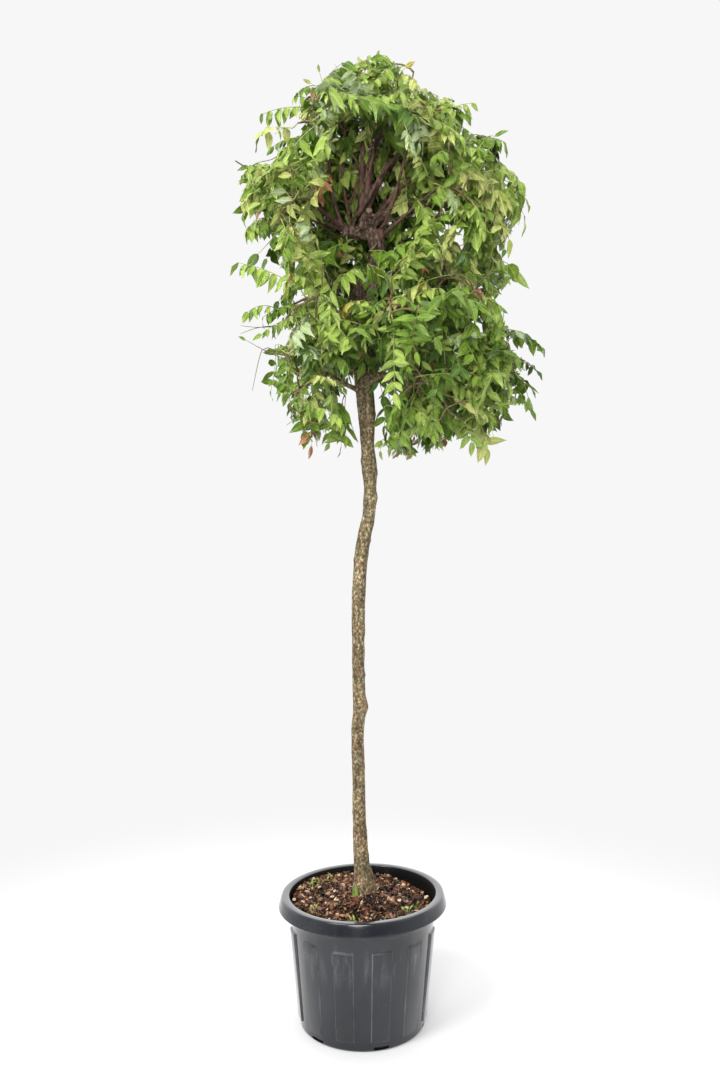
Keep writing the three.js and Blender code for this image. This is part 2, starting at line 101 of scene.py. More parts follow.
def linear(red, green, blue):
    """A colour as seen on a screen, 0 to 255, as the light values that a shader works in."""
    channels = [c / 255 for c in (red, green, blue)]
    return (*[c / 12.92 if c <= 0.04045 else ((c + 0.055) / 1.055) ** 2.4 for c in channels], 1)


def place_node(tree, scale=(1, 1, 1)):
    """Object coordinates, stretched by a scale, for patterns that stay with the piece."""
    coordinates = tree.nodes.new("ShaderNodeTexCoord")
    mapping = tree.nodes.new("ShaderNodeMapping")
    mapping.inputs["Scale"].default_value = scale
    tree.links.new(coordinates.outputs["Object"], mapping.inputs["Vector"])
    return mapping.outputs["Vector"]


def noise_node(tree, vector, scale, detail=4, roughness=0.55):
    pattern = tree.nodes.new("ShaderNodeTexNoise")
    pattern.inputs["Scale"].default_value = scale
    pattern.inputs["Detail"].default_value = detail
    pattern.inputs["Roughness"].default_value = roughness
    tree.links.new(vector, pattern.inputs["Vector"])
    return pattern.outputs["Fac"]


def ramp_node(tree, value, stops):
    """Colours dealt out along a value from 0 to 1."""
    ramp = tree.nodes.new("ShaderNodeValToRGB")
    while len(ramp.color_ramp.elements) < len(stops):
        ramp.color_ramp.elements.new(0.5)
    for element, (place, colour) in zip(ramp.color_ramp.elements, stops):
        element.position = place
        element.color = colour
    tree.links.new(value, ramp.inputs["Fac"])
    return ramp.outputs["Color"]


def grey_ramp(tree, value, *stops):
    return ramp_node(tree, value, [(place, (shade, shade, shade, 1)) for place, shade in stops])


def math_node(tree, operation, first, second=None):
    sum_node = tree.nodes.new("ShaderNodeMath")
    sum_node.operation = operation
    for socket, value in zip(sum_node.inputs, (first, second)):
        if isinstance(value, bpy.types.NodeSocket):
            tree.links.new(value, socket)
        elif value is not None:
            socket.default_value = value
    return sum_node.outputs["Value"]


def mix_node(tree, share, first, second):
    mix = tree.nodes.new("ShaderNodeMix")
    mix.data_type = "RGBA"
    for socket, value in (("Factor", share), ("A", first), ("B", second)):
        sockets = [s for s in mix.inputs if s.name == socket and s.type in ("RGBA", "VALUE")]
        target = [s for s in sockets if (s.type == "VALUE") == (socket == "Factor")][0]
        if isinstance(value, bpy.types.NodeSocket):
            tree.links.new(value, target)
        else:
            target.default_value = value
    return [s for s in mix.outputs if s.type == "RGBA"][0]


def product_node(tree, first, second):
    """One colour darkened by another."""
    product = tree.nodes.new("ShaderNodeVectorMath")
    product.operation = "MULTIPLY"
    tree.links.new(first, product.inputs[0])
    tree.links.new(second, product.inputs[1])
    return product.outputs["Vector"]


def parts_of(tree, vector):
    """A vector's own X, Y and Z."""
    parts = tree.nodes.new("ShaderNodeSeparateXYZ")
    tree.links.new(vector, parts.inputs["Vector"])
    return parts.outputs


def bump_node(tree, height, strength, distance, below=None):
    bump = tree.nodes.new("ShaderNodeBump")
    bump.inputs["Strength"].default_value = strength
    bump.inputs["Distance"].default_value = distance
    tree.links.new(height, bump.inputs["Height"])
    if below is not None:
        tree.links.new(below, bump.inputs["Normal"])
    return bump.outputs["Normal"]


def spread_node(tree, value, low, high, from_low, to_high):
    """A smooth step: one result below a low value, another above a high one."""
    spread = tree.nodes.new("ShaderNodeMapRange")
    spread.interpolation_type = "SMOOTHSTEP"
    settings = (("From Min", low), ("From Max", high), ("To Min", from_low), ("To Max", to_high))
    for socket, number in settings:
        spread.inputs[socket].default_value = number
    tree.links.new(value, spread.inputs["Value"])
    return spread.outputs["Result"]


# %% The light
bpy.context.scene.view_settings.view_transform = "Standard"
world = bpy.data.worlds.new("white_tent")
world.use_nodes = True
bpy.context.scene.world = world
WORLD_WHITE, OPEN_FRONT, BACK_GLOW = 0.93, 0.34, 0.88


def light_the_world():
    """White from all round, but darker from low down in front, and brighter from behind."""
    tree = world.node_tree
    parts = parts_of(tree, tree.nodes.new("ShaderNodeTexCoord").outputs["Generated"])
    raised = math_node(tree, "MULTIPLY", parts["Z"], 0.8)
    raised = math_node(tree, "ADD", raised, parts["Y"])
    front = spread_node(tree, raised, -1.0, -0.3, OPEN_FRONT, WORLD_WHITE)
    behind = spread_node(tree, parts["Y"], -0.1, 0.7, 0, BACK_GLOW)
    light = math_node(tree, "ADD", front, behind)
    seen = tree.nodes.new("ShaderNodeLightPath").outputs["Is Camera Ray"]
    shown = mix_node(tree, seen, light, (WORLD_WHITE, WORLD_WHITE, WORLD_WHITE, 1))
    tree.links.new(shown, tree.nodes["Background"].inputs["Color"])


light_the_world()


def add_lamp(name, place, target, size, power):
    lamp = bpy.data.lights.new(name, "AREA")
    lamp.shape = "DISK"
    lamp.size = size
    lamp.energy = power
    lamp_object = bpy.data.objects.new(name, lamp)
    lamp_object.location = place
    lamp_object.rotation_euler = (Vector(target) - Vector(place)).to_track_quat("-Z", "Y").to_euler()
    bpy.context.scene.collection.objects.link(lamp_object)


add_lamp("key_lamp", (-2.5, -2.6, 4.4), (0, 0, 1.8), 1.9, 165)
add_lamp("side_lamp", (3.2, -1.6, 2.6), (0, 0, 1.6), 1.8, 12)
add_lamp("front_lamp", (-0.6, -4.4, 2.6), (0, 0, 2.3), 2.0, 125)


# %% The floor
def floor_material():
    """White under the pot, and further off as bright as the world behind it, so that no line shows."""
    material, tree, shader = new_material("pale_floor")
    shader.inputs["Base Color"].default_value = (0.74, 0.74, 0.74, 1)
    shader.inputs["Roughness"].default_value = 0.9
    glow = tree.nodes.new("ShaderNodeEmission")
    glow.inputs["Color"].default_value = (WORLD_WHITE, WORLD_WHITE, WORLD_WHITE, 1)
    length = tree.nodes.new("ShaderNodeVectorMath")
    length.operation = "LENGTH"
    tree.links.new(place_node(tree), length.inputs[0])
    far = spread_node(tree, length.outputs["Value"], 0.5, 2.2, 0, 1)
    blend = tree.nodes.new("ShaderNodeMixShader")
    tree.links.new(far, blend.inputs["Fac"])
    tree.links.new(shader.outputs["BSDF"], blend.inputs[1])
    tree.links.new(glow.outputs["Emission"], blend.inputs[2])
    tree.links.new(blend.outputs["Shader"], tree.nodes["Material Output"].inputs["Surface"])
    return material


bpy.ops.object.select_all(action="DESELECT")
bpy.ops.mesh.primitive_circle_add(vertices=96, radius=30, fill_type="NGON", location=(0, 0, -0.0005))
floor = bpy.context.object
floor.name = "floor"
floor.data.materials.append(floor_material())


# %% [markdown]
# ## Tools for shaping pieces
#
# Every piece starts as a primitive and is shaped in edit mode. The operators there act on what is
# selected, so these helpers clear the selection, pick vertices or faces by their place, and hand the
# finished piece to the frame. Millimetres are used for sizes, because the plant was measured in them.

# %% Helpers for edit mode
MM = 0.001


def start_piece(name):
    """The primitive that was just added, named and in edit mode with nothing selected."""
    piece = bpy.context.object
    piece.name = name
    piece.data.name = name
    bpy.ops.object.mode_set(mode="EDIT")
    bpy.ops.mesh.select_all(action="DESELECT")
    return piece


def stretch(x, y, z):
    """Scales what is selected, away from the origin."""
    bpy.ops.transform.resize(value=(x, y, z), center_override=(0, 0, 0))


def clear_selection():
    if bpy.context.object and bpy.context.object.mode == "EDIT":
        bpy.ops.object.mode_set(mode="OBJECT")
    bpy.ops.object.select_all(action="DESELECT")


def select_where(piece, test, kind="VERT"):
    """Selects the vertices or faces whose place passes a test, and says how many they are."""
    bpy.ops.object.mode_set(mode="EDIT")
    bpy.ops.mesh.select_mode(type=kind)
    bpy.ops.mesh.select_all(action="DESELECT")
    bpy.ops.object.mode_set(mode="OBJECT")
    items = piece.data.vertices if kind == "VERT" else piece.data.polygons
    count = 0
    for item in items:
        if test(item.co if kind == "VERT" else item.center):
            item.select = True
            count += 1
    bpy.ops.object.mode_set(mode="EDIT")
    return count


def hand_over(piece, replaced=()):
    """The piece rides on the plant's one body, and the solids that it stands for are hidden."""
    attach(piece, "root")
    if replaced:
        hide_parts(*replaced)


def finish_piece(piece, material, replaced, smooth):
    """Back in object mode, with its place in its mesh, smoothed, painted, and riding on the frame."""
    clear_selection()
    piece.select_set(True)
    bpy.context.view_layer.objects.active = piece
    bpy.ops.object.transform_apply(location=True, rotation=True, scale=True)
    bpy.ops.object.shade_smooth_by_angle(angle=math.radians(smooth))
    piece.data.materials.clear()
    piece.data.materials.append(material)
    hand_over(piece, replaced)
    piece.select_set(False)


def take_arrays(piece):
    """A finished shape as arrays of its vertices and faces; the object itself is taken away."""
    vertices = np.array([vertex.co[:] for vertex in piece.data.vertices])
    faces = np.array([face.vertices[:] for face in piece.data.polygons])
    bpy.data.objects.remove(piece)
    return vertices, faces


def mesh_piece(name, vertices, faces, material, replaced=(), smooth=True):
    """A joined mesh from arrays: many small things of one kind as one piece. Millimetres come in."""
    mesh = bpy.data.meshes.new(name)
    vertices = np.asarray(np.concatenate(vertices), dtype=np.float32) * MM
    faces = np.asarray(np.concatenate(faces), dtype=np.int32)
    mesh.vertices.add(len(vertices))
    mesh.vertices.foreach_set("co", vertices.ravel())
    mesh.loops.add(faces.size)
    mesh.loops.foreach_set("vertex_index", faces.ravel())
    mesh.polygons.add(len(faces))
    mesh.polygons.foreach_set("loop_start", np.arange(0, faces.size, faces.shape[1], dtype=np.int32))
    mesh.polygons.foreach_set("use_smooth", np.full(len(faces), smooth))
    mesh.update(calc_edges=True)
    mesh.validate()
    piece = bpy.data.objects.new(name, mesh)
    bpy.context.scene.collection.objects.link(piece)
    if material is not None:
        mesh.materials.append(material)
    hand_over(piece, replaced)
    print(name, len(faces) * (faces.shape[1] - 2), "triangles")
    return piece


# %% [markdown]
# ## The pot
#
# A nursery pot is moulded in dark plastic: a tapering body with twelve raised flat panels, a plain neck
# above them, and a flat lip whose skirt flares out over the neck. It could be a lathe profile with a
# screw modifier, but the panels and the drainage notches need single faces, so here a disc is extruded
# ring by ring, each ring scaled to its radius, and the panels are then extruded outwards.

# %% The body and rim
POT_SIDES = 240
POT_BASE, POT_UNDER_RIM, POT_SKIRT = 181, 212, 341  # two radii, and the height of the skirt's lower edge
PANEL_COUNT, PANEL_BOTTOM, PANEL_TOP, PANEL_HALF_DEGREES = 12, 26, 280, 8.25
PANEL_RISE, PANEL_SLANT = 4.2, 3.2  # how far a panel stands out, and the width of its slanting edge
NOTCH_COUNT, NOTCH_HEIGHT, NOTCH_HALF_DEGREES, NOTCH_TURN = 6, 12, 6.8, 13
MOULDED_EDGE = 1.1  # the width of the rounding on the pot's edges
RIM_TILT = 0.022  # the lip has warped: it stands higher on the right
RIM_BENDS_FROM, RIM_BENDS_FULLY = 300, 336  # heights


def body_radius(height):
    return POT_BASE + (POT_UNDER_RIM - POT_BASE) * height / POT_SKIRT


# Each ring is a radius and a height: up the body and the neck, over the skirt and lip, down the inside.
NECK = 3.6  # how far the neck stands out from the body
pot_rings = [(body_radius(z), z) for z in (4, NOTCH_HEIGHT, 18, PANEL_BOTTOM, PANEL_TOP, 291, 315)]
pot_rings += [(body_radius(317) + NECK, 317.5), (body_radius(340) + NECK, 340), (222, 355), (229, 361)]
pot_rings += [(234, 361), (238.6, 350), (241.2, 338), (242, 336.3), (243.4, 336.3), (244, 337.6)]
pot_rings += [(242.2, 345), (238.4, 358), (236, 366.5), (234.8, 369.4), (232.4, 371), (217.5, 371)]
pot_rings += [(214, 369.8), (212.4, 366.5), (210.6, 350), (206.8, 312)]

clear_selection()
bpy.ops.mesh.primitive_circle_add(vertices=POT_SIDES, radius=(POT_BASE - 3) * MM, fill_type="NGON")
pot = start_piece("pot_shell")
bpy.ops.mesh.select_all(action="SELECT")
bpy.ops.transform.rotate(value=math.radians(0.75), orient_axis="Z", center_override=(0, 0, 0))
radius, height = POT_BASE - 3, 0
for ring_radius, ring_height in pot_rings:
    bpy.ops.mesh.extrude_region_move(TRANSFORM_OT_translate={"value": (0, 0, (ring_height - height) * MM)})
    share = ring_radius / radius
    stretch(share, share, 1)
    radius, height = ring_radius, ring_height
print("pot body:", len(pot_rings), "rings of", POT_SIDES)


# %% The raised panels and the notches
def from_axis(place):
    return math.hypot(place.x, place.y)


def degrees_off(place, count):
    """How far a place lies from the middle of the nearest of so many equal sectors, in degrees."""
    step = 360 / count
    around = math.degrees(math.atan2(place.y, place.x)) + 90 - step / 2
    return abs((around + step / 2) % step - step / 2)


def stands_out(place):
    return from_axis(place) > (body_radius(place.z / MM) + 0.8) * MM


def on_wall(place, bottom, top):
    """On the pot's wall, between two heights in millimetres."""
    return bottom * MM < place.z < top * MM and from_axis(place) > POT_BASE * 0.8 * MM


def is_panel(place):
    in_sector = degrees_off(place, PANEL_COUNT) < PANEL_HALF_DEGREES
    return on_wall(place, PANEL_BOTTOM, PANEL_TOP) and in_sector


def is_notch(place):
    turned = Matrix.Rotation(math.radians(NOTCH_TURN), 3, "Z") @ place
    in_sector = degrees_off(turned, NOTCH_COUNT) < NOTCH_HALF_DEGREES
    return on_wall(place, 4, NOTCH_HEIGHT) and in_sector


def is_panel_edge(height):
    def test(place):
        return abs(place.z - height * MM) < 0.0012 and stands_out(place)

    return test


panel_faces = select_where(pot, is_panel, "FACE")
bpy.ops.mesh.inset(thickness=PANEL_SLANT * MM, depth=PANEL_RISE * MM)
select_where(pot, is_panel_edge(PANEL_TOP - PANEL_SLANT))
stretch(1.006, 1.006, 1)
notch_faces = select_where(pot, is_notch, "FACE")
bpy.ops.mesh.extrude_region_move()
stretch(0.955, 0.955, 1)
bpy.ops.mesh.select_all(action="SELECT")
bpy.ops.mesh.normals_make_consistent(inside=False)
clear_selection()
pot.select_set(True)
bevel = pot.modifiers.new("moulded_edges", "BEVEL")
bevel.width = MOULDED_EDGE * MM
bevel.segments = 2
bevel.limit_method = "ANGLE"
bevel.angle_limit = math.radians(28)
bpy.ops.object.modifier_apply(modifier=bevel.name)
for vertex in pot.data.vertices:
    risen = (vertex.co.z / MM - RIM_BENDS_FROM) / (RIM_BENDS_FULLY - RIM_BENDS_FROM)
    lifted = min(1, max(0, risen))
    vertex.co.z += vertex.co.x * RIM_TILT * lifted
print(panel_faces, "panel faces,", notch_faces, "notch faces")

# %% [markdown]
# The plastic is a dark slate and satin, so its sides pick up the pale floor at a glancing angle. It
# isn't clean: water has dried on it in pale streaks and patches, most of all under the neck. A streak is
# noise that is stretched down the pot, so its vertical scale is small. Lip and skirt are handled and
# stay dark and shiny, and the inside is clean and nearly black. One material cannot tell those places
# apart, so the pot gets four, dealt out to its faces by place: the fourth is a paler plastic that is
# painted on the panels' slanting edges as a highlight.


# %% The pot's plastic
def pot_plastic(name, dark, light, drips, roughness, mirror):
    material, tree, shader = new_material(name)
    even = place_node(tree)
    parts = parts_of(tree, even)
    streaks = noise_node(tree, place_node(tree, (1, 1, 0.14)), 30, 6, 0.62)
    patches = noise_node(tree, place_node(tree, (1, 1, 0.7)), 8, 5, 0.6)
    grain = noise_node(tree, even, 900, 2, 0.5)
    specks = noise_node(tree, even, 340, 2, 0.5)
    cloud = grey_ramp(tree, patches, (0.38, 0), (0.66, 1))
    slate = mix_node(tree, cloud, dark, light)
    height = math_node(tree, "MULTIPLY", parts["Z"], 1 / 0.4)
    under_neck = grey_ramp(tree, height, (0.42, 0), (0.62, 1), (0.74, 0.2))
    film = grey_ramp(tree, streaks, (0.5, 0), (0.7, 1))
    film = math_node(tree, "MULTIPLY", film, under_neck)
    dried = math_node(tree, "MULTIPLY", film, drips)
    dusty = mix_node(tree, dried, slate, linear(128, 128, 130))
    dots = grey_ramp(tree, specks, (0.7, 0), (0.78, 0.5))
    tree.links.new(mix_node(tree, dots, dusty, linear(140, 140, 140)), shader.inputs["Base Color"])
    shine = grey_ramp(tree, patches, (0.35, roughness), (0.75, roughness + 0.12))
    dulled = math_node(tree, "MULTIPLY", dried, 0.4)
    tree.links.new(math_node(tree, "ADD", shine, dulled), shader.inputs["Roughness"])
    tree.links.new(bump_node(tree, grain, 0.02, 0.0003), shader.inputs["Normal"])
    shader.inputs["Specular IOR Level"].default_value = mirror * 0.45
    shader.inputs["Coat Weight"].default_value = mirror
    shader.inputs["Coat Roughness"].default_value = roughness
    return material


INSIDE_FROM, INSIDE_RADIUS = 312, 213.5  # height from which the inner wall shows, and its radius
RIM_FROM, MOUTH_RADIUS = 335, 211  # height from which the rim is handled, and the radius of its mouth


def is_inside(place, normal):
    inward = place.x * normal.x + place.y * normal.y < 0
    return place.z > INSIDE_FROM * MM and from_axis(place) < INSIDE_RADIUS * MM and inward


def towards_middle(place, normal):
    """Whether a face on the front or the back is turned towards the line x = 0."""
    aside = (place.x * normal.y - place.y * normal.x) * place.x * (1 if place.y > 0 else -1)
    return aside > 0 and abs(place.x) > 0.02


def is_highlit_chamfer(place, normal):
    """A raised panel's slanting rim that gets a painted highlight: its top, and the side towards the middle.
    """
    outward = (place.x * normal.x + place.y * normal.y) / from_axis(place)
    raised = outward < 0.93 and stands_out(place)
    inner_side = abs(normal.z) < 0.3 and towards_middle(place, normal)
    return on_wall(place, PANEL_BOTTOM, PANEL_TOP) and raised and (normal.z > 0.3 or inner_side)


# Two shades, then how strong the drips are, the roughness, and how well it mirrors.
plastics = [
    pot_plastic("slate_plastic", linear(7, 10, 18), linear(23, 26, 35), 0.35, 0.12, 0.7),
    pot_plastic("shiny_rim_plastic", linear(3, 7, 17), linear(10, 16, 28), 0.2, 0.16, 0.68),
    pot_plastic("black_inner_plastic", linear(7, 6, 6), linear(14, 12, 11), 0.1, 0.5, 0.15),
    # The paler plastic on the panels' slanting edges is a painted highlight.
    pot_plastic("painted_highlight_plastic", linear(34, 37, 42), linear(84, 87, 92), 0.2, 0.24, 0.5),
]
finish_piece(pot, plastics[0], ["pot"], smooth=35)
for plastic in plastics[1:]:
    pot.data.materials.append(plastic)
for face in pot.data.polygons:
    if is_inside(face.center, face.normal):
        face.material_index = 2
    elif face.center.z > RIM_FROM * MM and from_axis(face.center) > MOUTH_RADIUS * MM:
        face.material_index = 1
    # Panel tops and the sides towards the middle get the painted highlight.
    elif is_highlit_chamfer(face.center, face.normal):
        face.material_index = 3
print("pot", len(pot.data.polygons), "faces")

# %% [markdown]
# ## The bark chips
#
# The pot is topped with a mulch of crumbled bark: thousands of flat broken chips from 3 to 32 mm,
# mostly brown, some tan or pale, some wet and nearly black. A bump map would look flat from the
# camera's low angle, so the chips are real. Four chips are modelled once from small balls, and copies
# are thrown on a dark mound in arrays, each turned and scaled by a seeded random generator.

# %% The mound under the chips
MIX_ROWS = [(0, 357), (64, 356), (135, 338), (200, 325), (210, 322)]  # distance from the axis, height
HEAPED_TO = math.radians(140)  # the mulch is heaped up towards the back on the left
MOUND_RADIUS = 206.5


def mix_height(x, y):
    rows = np.array(MIX_ROWS, float)
    distance = np.hypot(x, y)
    heap = np.maximum(0, 12 + 18 * np.cos(np.arctan2(y, x) - HEAPED_TO)) * (distance / 205) ** 2
    return np.interp(distance, rows[:, 0], rows[:, 1]) + heap


clear_selection()
bpy.ops.mesh.primitive_grid_add(x_subdivisions=90, y_subdivisions=90, size=0.44)
mound = start_piece("mulch_mound")
select_where(mound, lambda place: from_axis(place) > MOUND_RADIUS * MM)
bpy.ops.mesh.delete(type="VERT")
clear_selection()
for vertex in mound.data.vertices:
    bumps = noise.noise(vertex.co * 45) * 3.5 + noise.noise(vertex.co * 110) * 2
    vertex.co.z = (mix_height(vertex.co.x / MM, vertex.co.y / MM) - 3 + bumps) * MM
print("mound", len(mound.data.polygons), "faces")


# %% One chip of each kind
def chip_shape(size, twist, seed):
    """A broken flake: a ball of 20 faces that is flattened, pinched at one end and pulled about."""
    clear_selection()
    bpy.ops.mesh.primitive_ico_sphere_add(subdivisions=1, radius=0.5)
    chip = start_piece("chip_" + str(seed))
    bpy.ops.mesh.select_all(action="SELECT")
    bpy.ops.transform.resize(value=size)
    select_where(chip, lambda place: place.x > 0.05)
    bpy.ops.transform.rotate(value=twist, orient_axis="X", center_override=(0, 0, 0))
    stretch(1, 1.3, 0.7)
    bpy.ops.mesh.select_all(action="SELECT")
    bpy.ops.transform.vertex_random(offset=0.09, seed=seed)
    clear_selection()
    return take_arrays(chip)


chip_shapes = [
    chip_shape((1.0, 0.42, 0.1), 0.5, 1),
    chip_shape((1.0, 0.62, 0.14), -0.4, 2),
    chip_shape((1.1, 0.22, 0.12), 0.8, 3),
    chip_shape((0.8, 0.6, 0.3), 0.3, 4),
]
print("chip shapes of", [len(faces) for _, faces in chip_shapes], "triangles")


# %% Throwing the chips
def random_turns(random, count, tilt):
    """Rotation matrices: any way round, leaning by up to a tilt, in radians."""
    spin = random.uniform(0, 2 * math.pi, count)
    lean = random.normal(0, tilt, count)
    axis = random.uniform(0, 2 * math.pi, count)
    c, s = np.cos(spin), np.sin(spin)
    turn = np.zeros((count, 3, 3))
    turn[:, 0, 0], turn[:, 0, 1], turn[:, 1, 0], turn[:, 1, 1], turn[:, 2, 2] = c, -s, s, c, 1
    ax, ay = np.cos(axis), np.sin(axis)
    cl, sl = np.cos(lean), np.sin(lean)
    tip = np.empty((count, 3, 3))
    tip[:, 0] = np.stack([cl + ax * ax * (1 - cl), ax * ay * (1 - cl), ay * sl], 1)
    tip[:, 1] = np.stack([ax * ay * (1 - cl), cl + ay * ay * (1 - cl), -ax * sl], 1)
    tip[:, 2] = np.stack([-ay * sl, ax * sl, cl], 1)
    return tip @ turn


def throw_chips(name, material, count, smallest, largest, lift, seed, tilt=0.8, patch=(0, 0, 203)):
    """Chips on a round patch of the mound: its middle's x and y, and its radius."""
    random = np.random.default_rng(seed)
    all_vertices, all_faces, start = [], [], 0
    kinds = random.integers(0, len(chip_shapes), count)
    for kind, (vertices, faces) in enumerate(chip_shapes):
        many = int((kinds == kind).sum())
        distance = patch[2] * np.sqrt(random.uniform(0.0, 1, many))
        around = random.uniform(0, 2 * math.pi, many)
        length = smallest + (largest - smallest) * random.uniform(0, 1, many) ** 2.2
        x, y = patch[0] + distance * np.cos(around), patch[1] + distance * np.sin(around)
        over = np.maximum(1, np.hypot(x, y) / (206 - length * 0.5))
        x, y = x / over, y / over
        place = np.stack([x, y, mix_height(x, y) + lift + random.uniform(-3, 4, many)], 1)
        turns = random_turns(random, many, tilt).transpose(0, 2, 1)
        turned = (vertices[None] * length[:, None, None]) @ turns
        all_vertices.append((turned + place[:, None]).reshape(-1, 3))
        steps = start + np.arange(many)[:, None, None] * len(vertices)
        all_faces.append((faces[None] + steps).reshape(-1, 3))
        start += many * len(vertices)
    mesh_piece(name, all_vertices, all_faces, material, smooth=False)


def chip_material(name, dark, light, roughness=0.8):
    material, tree, shader = new_material(name)
    vector = place_node(tree)
    tint = noise_node(tree, vector, 60, 3)
    fibre = noise_node(tree, place_node(tree, (1, 0.3, 1)), 420, 4, 0.6)
    colour = ramp_node(tree, tint, [(0.34, dark), (0.66, light)])
    shade = grey_ramp(tree, fibre, (0.3, 0.62), (0.6, 1))
    tree.links.new(product_node(tree, colour, shade), shader.inputs["Base Color"])
    shader.inputs["Roughness"].default_value = roughness
    shader.inputs["Specular IOR Level"].default_value = 0.2
    tree.links.new(bump_node(tree, fibre, 0.35, 0.001), shader.inputs["Normal"])
    return material


red_bark = chip_material("red_brown_bark", linear(82, 44, 28), linear(150, 96, 66), 0.75)
brown_bark = chip_material("brown_bark", linear(52, 34, 24), linear(112, 78, 56), 0.6)
dark_bark = chip_material("dark_bark", linear(10, 8, 6), linear(36, 24, 18), 0.35)
tan_bark = chip_material("tan_bark", linear(122, 86, 60), linear(176, 136, 104), 0.75)
pale_bark = chip_material("pale_bark", linear(190, 156, 122), linear(232, 208, 178), 0.75)
finish_piece(mound, dark_bark, ["potting_mix"], smooth=60)
throw_chips("red_chips", red_bark, 2100, 4, 27, 1.5, 11)
throw_chips("brown_chips", brown_bark, 2500, 4, 25, 1.4, 15)
throw_chips("dark_chips", dark_bark, 2500, 4, 24, 3.0, 12)
throw_chips("dark_crumbs", dark_bark, 3400, 3, 10, 5.2, 17, tilt=1)
throw_chips("red_crumbs", red_bark, 1600, 3, 8, 4.6, 18, tilt=1)
throw_chips("dark_patch_chips", dark_bark, 620, 4, 20, 4.5, 16, patch=(75, -25, 85))
throw_chips("tan_chips", tan_bark, 850, 4, 32, 3.6, 14)
throw_chips("pale_chips", pale_bark, 330, 4, 26, 4.8, 13)


# %% [markdown]
# ## The wood
#
# The stem is bare for a metre and a half, then forks at once into the old head that is cut back every
# winter. In a real plant the wood of each bough runs into the wood below it, without a seam. So every
# limb is first made as its own tapering tube, then all tubes are joined by a voxel remesh, which melts
# them together as one skin, and a smoothing pass rounds the crotches. Last, the bark's relief is
# pushed into that skin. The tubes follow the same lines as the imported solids, so those lines come
# first: one kind passes through given points, the other sets out in one direction and bends away.


# %% Lines that limbs grow along
class Line:
    """A curve as closely spaced points, read by its share of length or by its own parameter."""

    def __init__(self, points):
        self.points = np.array(points, float)
        steps = np.linalg.norm(np.diff(self.points, axis=0), axis=1)
        self.lengths = np.concatenate([[0], np.cumsum(steps)])
        self.length = self.lengths[-1]

    def read(self, value, places):
        return np.stack([np.interp(value, places, self.points[:, k]) for k in range(3)], -1)

    def at(self, share):
        return self.read(np.asarray(share) * self.length, self.lengths)

    def at_parameter(self, value):
        return self.read(value, np.linspace(0, 1, len(self.points)))

    def heading(self, share):
        low, high = max(0, share - 0.02), min(1, share + 0.02)
        return unit(self.at(high) - self.at(low))


def unit(vector):
    vector = np.asarray(vector, float)
    return vector / np.maximum(np.linalg.norm(vector, axis=-1, keepdims=True), 1e-9)


def through(points, count=240):
    """A smooth line through points, each piece bending as its own length asks (Catmull and Rom's curve)."""
    points = np.array(points, float)
    ends = np.vstack([2 * points[0] - points[1], points, 2 * points[-1] - points[-2]])
    line = []
    for value in np.linspace(0, len(points) - 1, count):
        i = min(int(value), len(points) - 2)
        share = value - i
        p0, p1, p2, p3 = ends[i : i + 4]
        t0, t1, t2 = (np.linalg.norm(b - a) ** 0.5 for a, b in ((p0, p1), (p1, p2), (p2, p3)))
        first = ((p1 - p0) / t0 - (p2 - p0) / (t0 + t1) + (p2 - p1) / t1) * t1
        last = ((p2 - p1) / t1 - (p3 - p1) / (t1 + t2) + (p3 - p2) / t2) * t1
        bend = 2 * p1 - 2 * p2 + first + last
        rise = -3 * p1 + 3 * p2 - 2 * first - last
        line.append(p1 + share * (first + share * (rise + share * bend)))
    return Line(line)


def arched(start, heading, end, arch, count=60):
    """A line that leaves its start in one direction and is carried that way for a share of its length."""
    start, end = np.array(start, float), np.array(end, float)
    knee = start + unit(heading) * np.linalg.norm(end - start) * arch
    t = np.linspace(0, 1, count)[:, None]
    return Line((1 - t) ** 2 * start + 2 * t * (1 - t) * knee + t**2 * end)


# %% The stem's line
# Height above the foot, sideways offset, and thickness, as the stem was measured.
stem_stations = np.array([
    [0, 3, 60], [34, 2, 51], [90, -3, 46], [180, -8, 40], [330, -11, 37], [480, -14, 37], [540, -7, 40],
    [610, -11, 37], [740, -12, 37], [880, -11, 40], [1010, -1, 40], [1110, 18, 39], [1185, 22, 36],
    [1240, 20, 45], [1320, 15, 40], [1400, 13, 50], [1528, 1, 54],
], float)
FOOT, FOOT_Y, FORK_Y = 360, 25, 10
stem_top = stem_stations[-1, 0]
stem_points = [[x, FOOT_Y + (FORK_Y - FOOT_Y) * h / stem_top, FOOT + h] for h, x, _ in stem_stations]
trunk_line = through([np.subtract(stem_points[0], (0, 0, 30))] + stem_points)
leader_path = [[-4, 10, 1950], [10, 8, 2050], [34, 6, 2150], [44, 5, 2240], [34, 4, 2298]]
leader_line = through([stem_points[-1]] + leader_path)
print("stem", round(trunk_line.length), "mm, leader", round(leader_line.length), "mm")

# %% [markdown]
# The crown is planned as 25 masses in five tiers. A bough runs from the head to each, carries on as
# the mass's own stem, and twigs set out from that. Every mass keeps to the space nearest to its middle,
# so the foliage spreads evenly round the plant. These are the places that the solids were grown from.

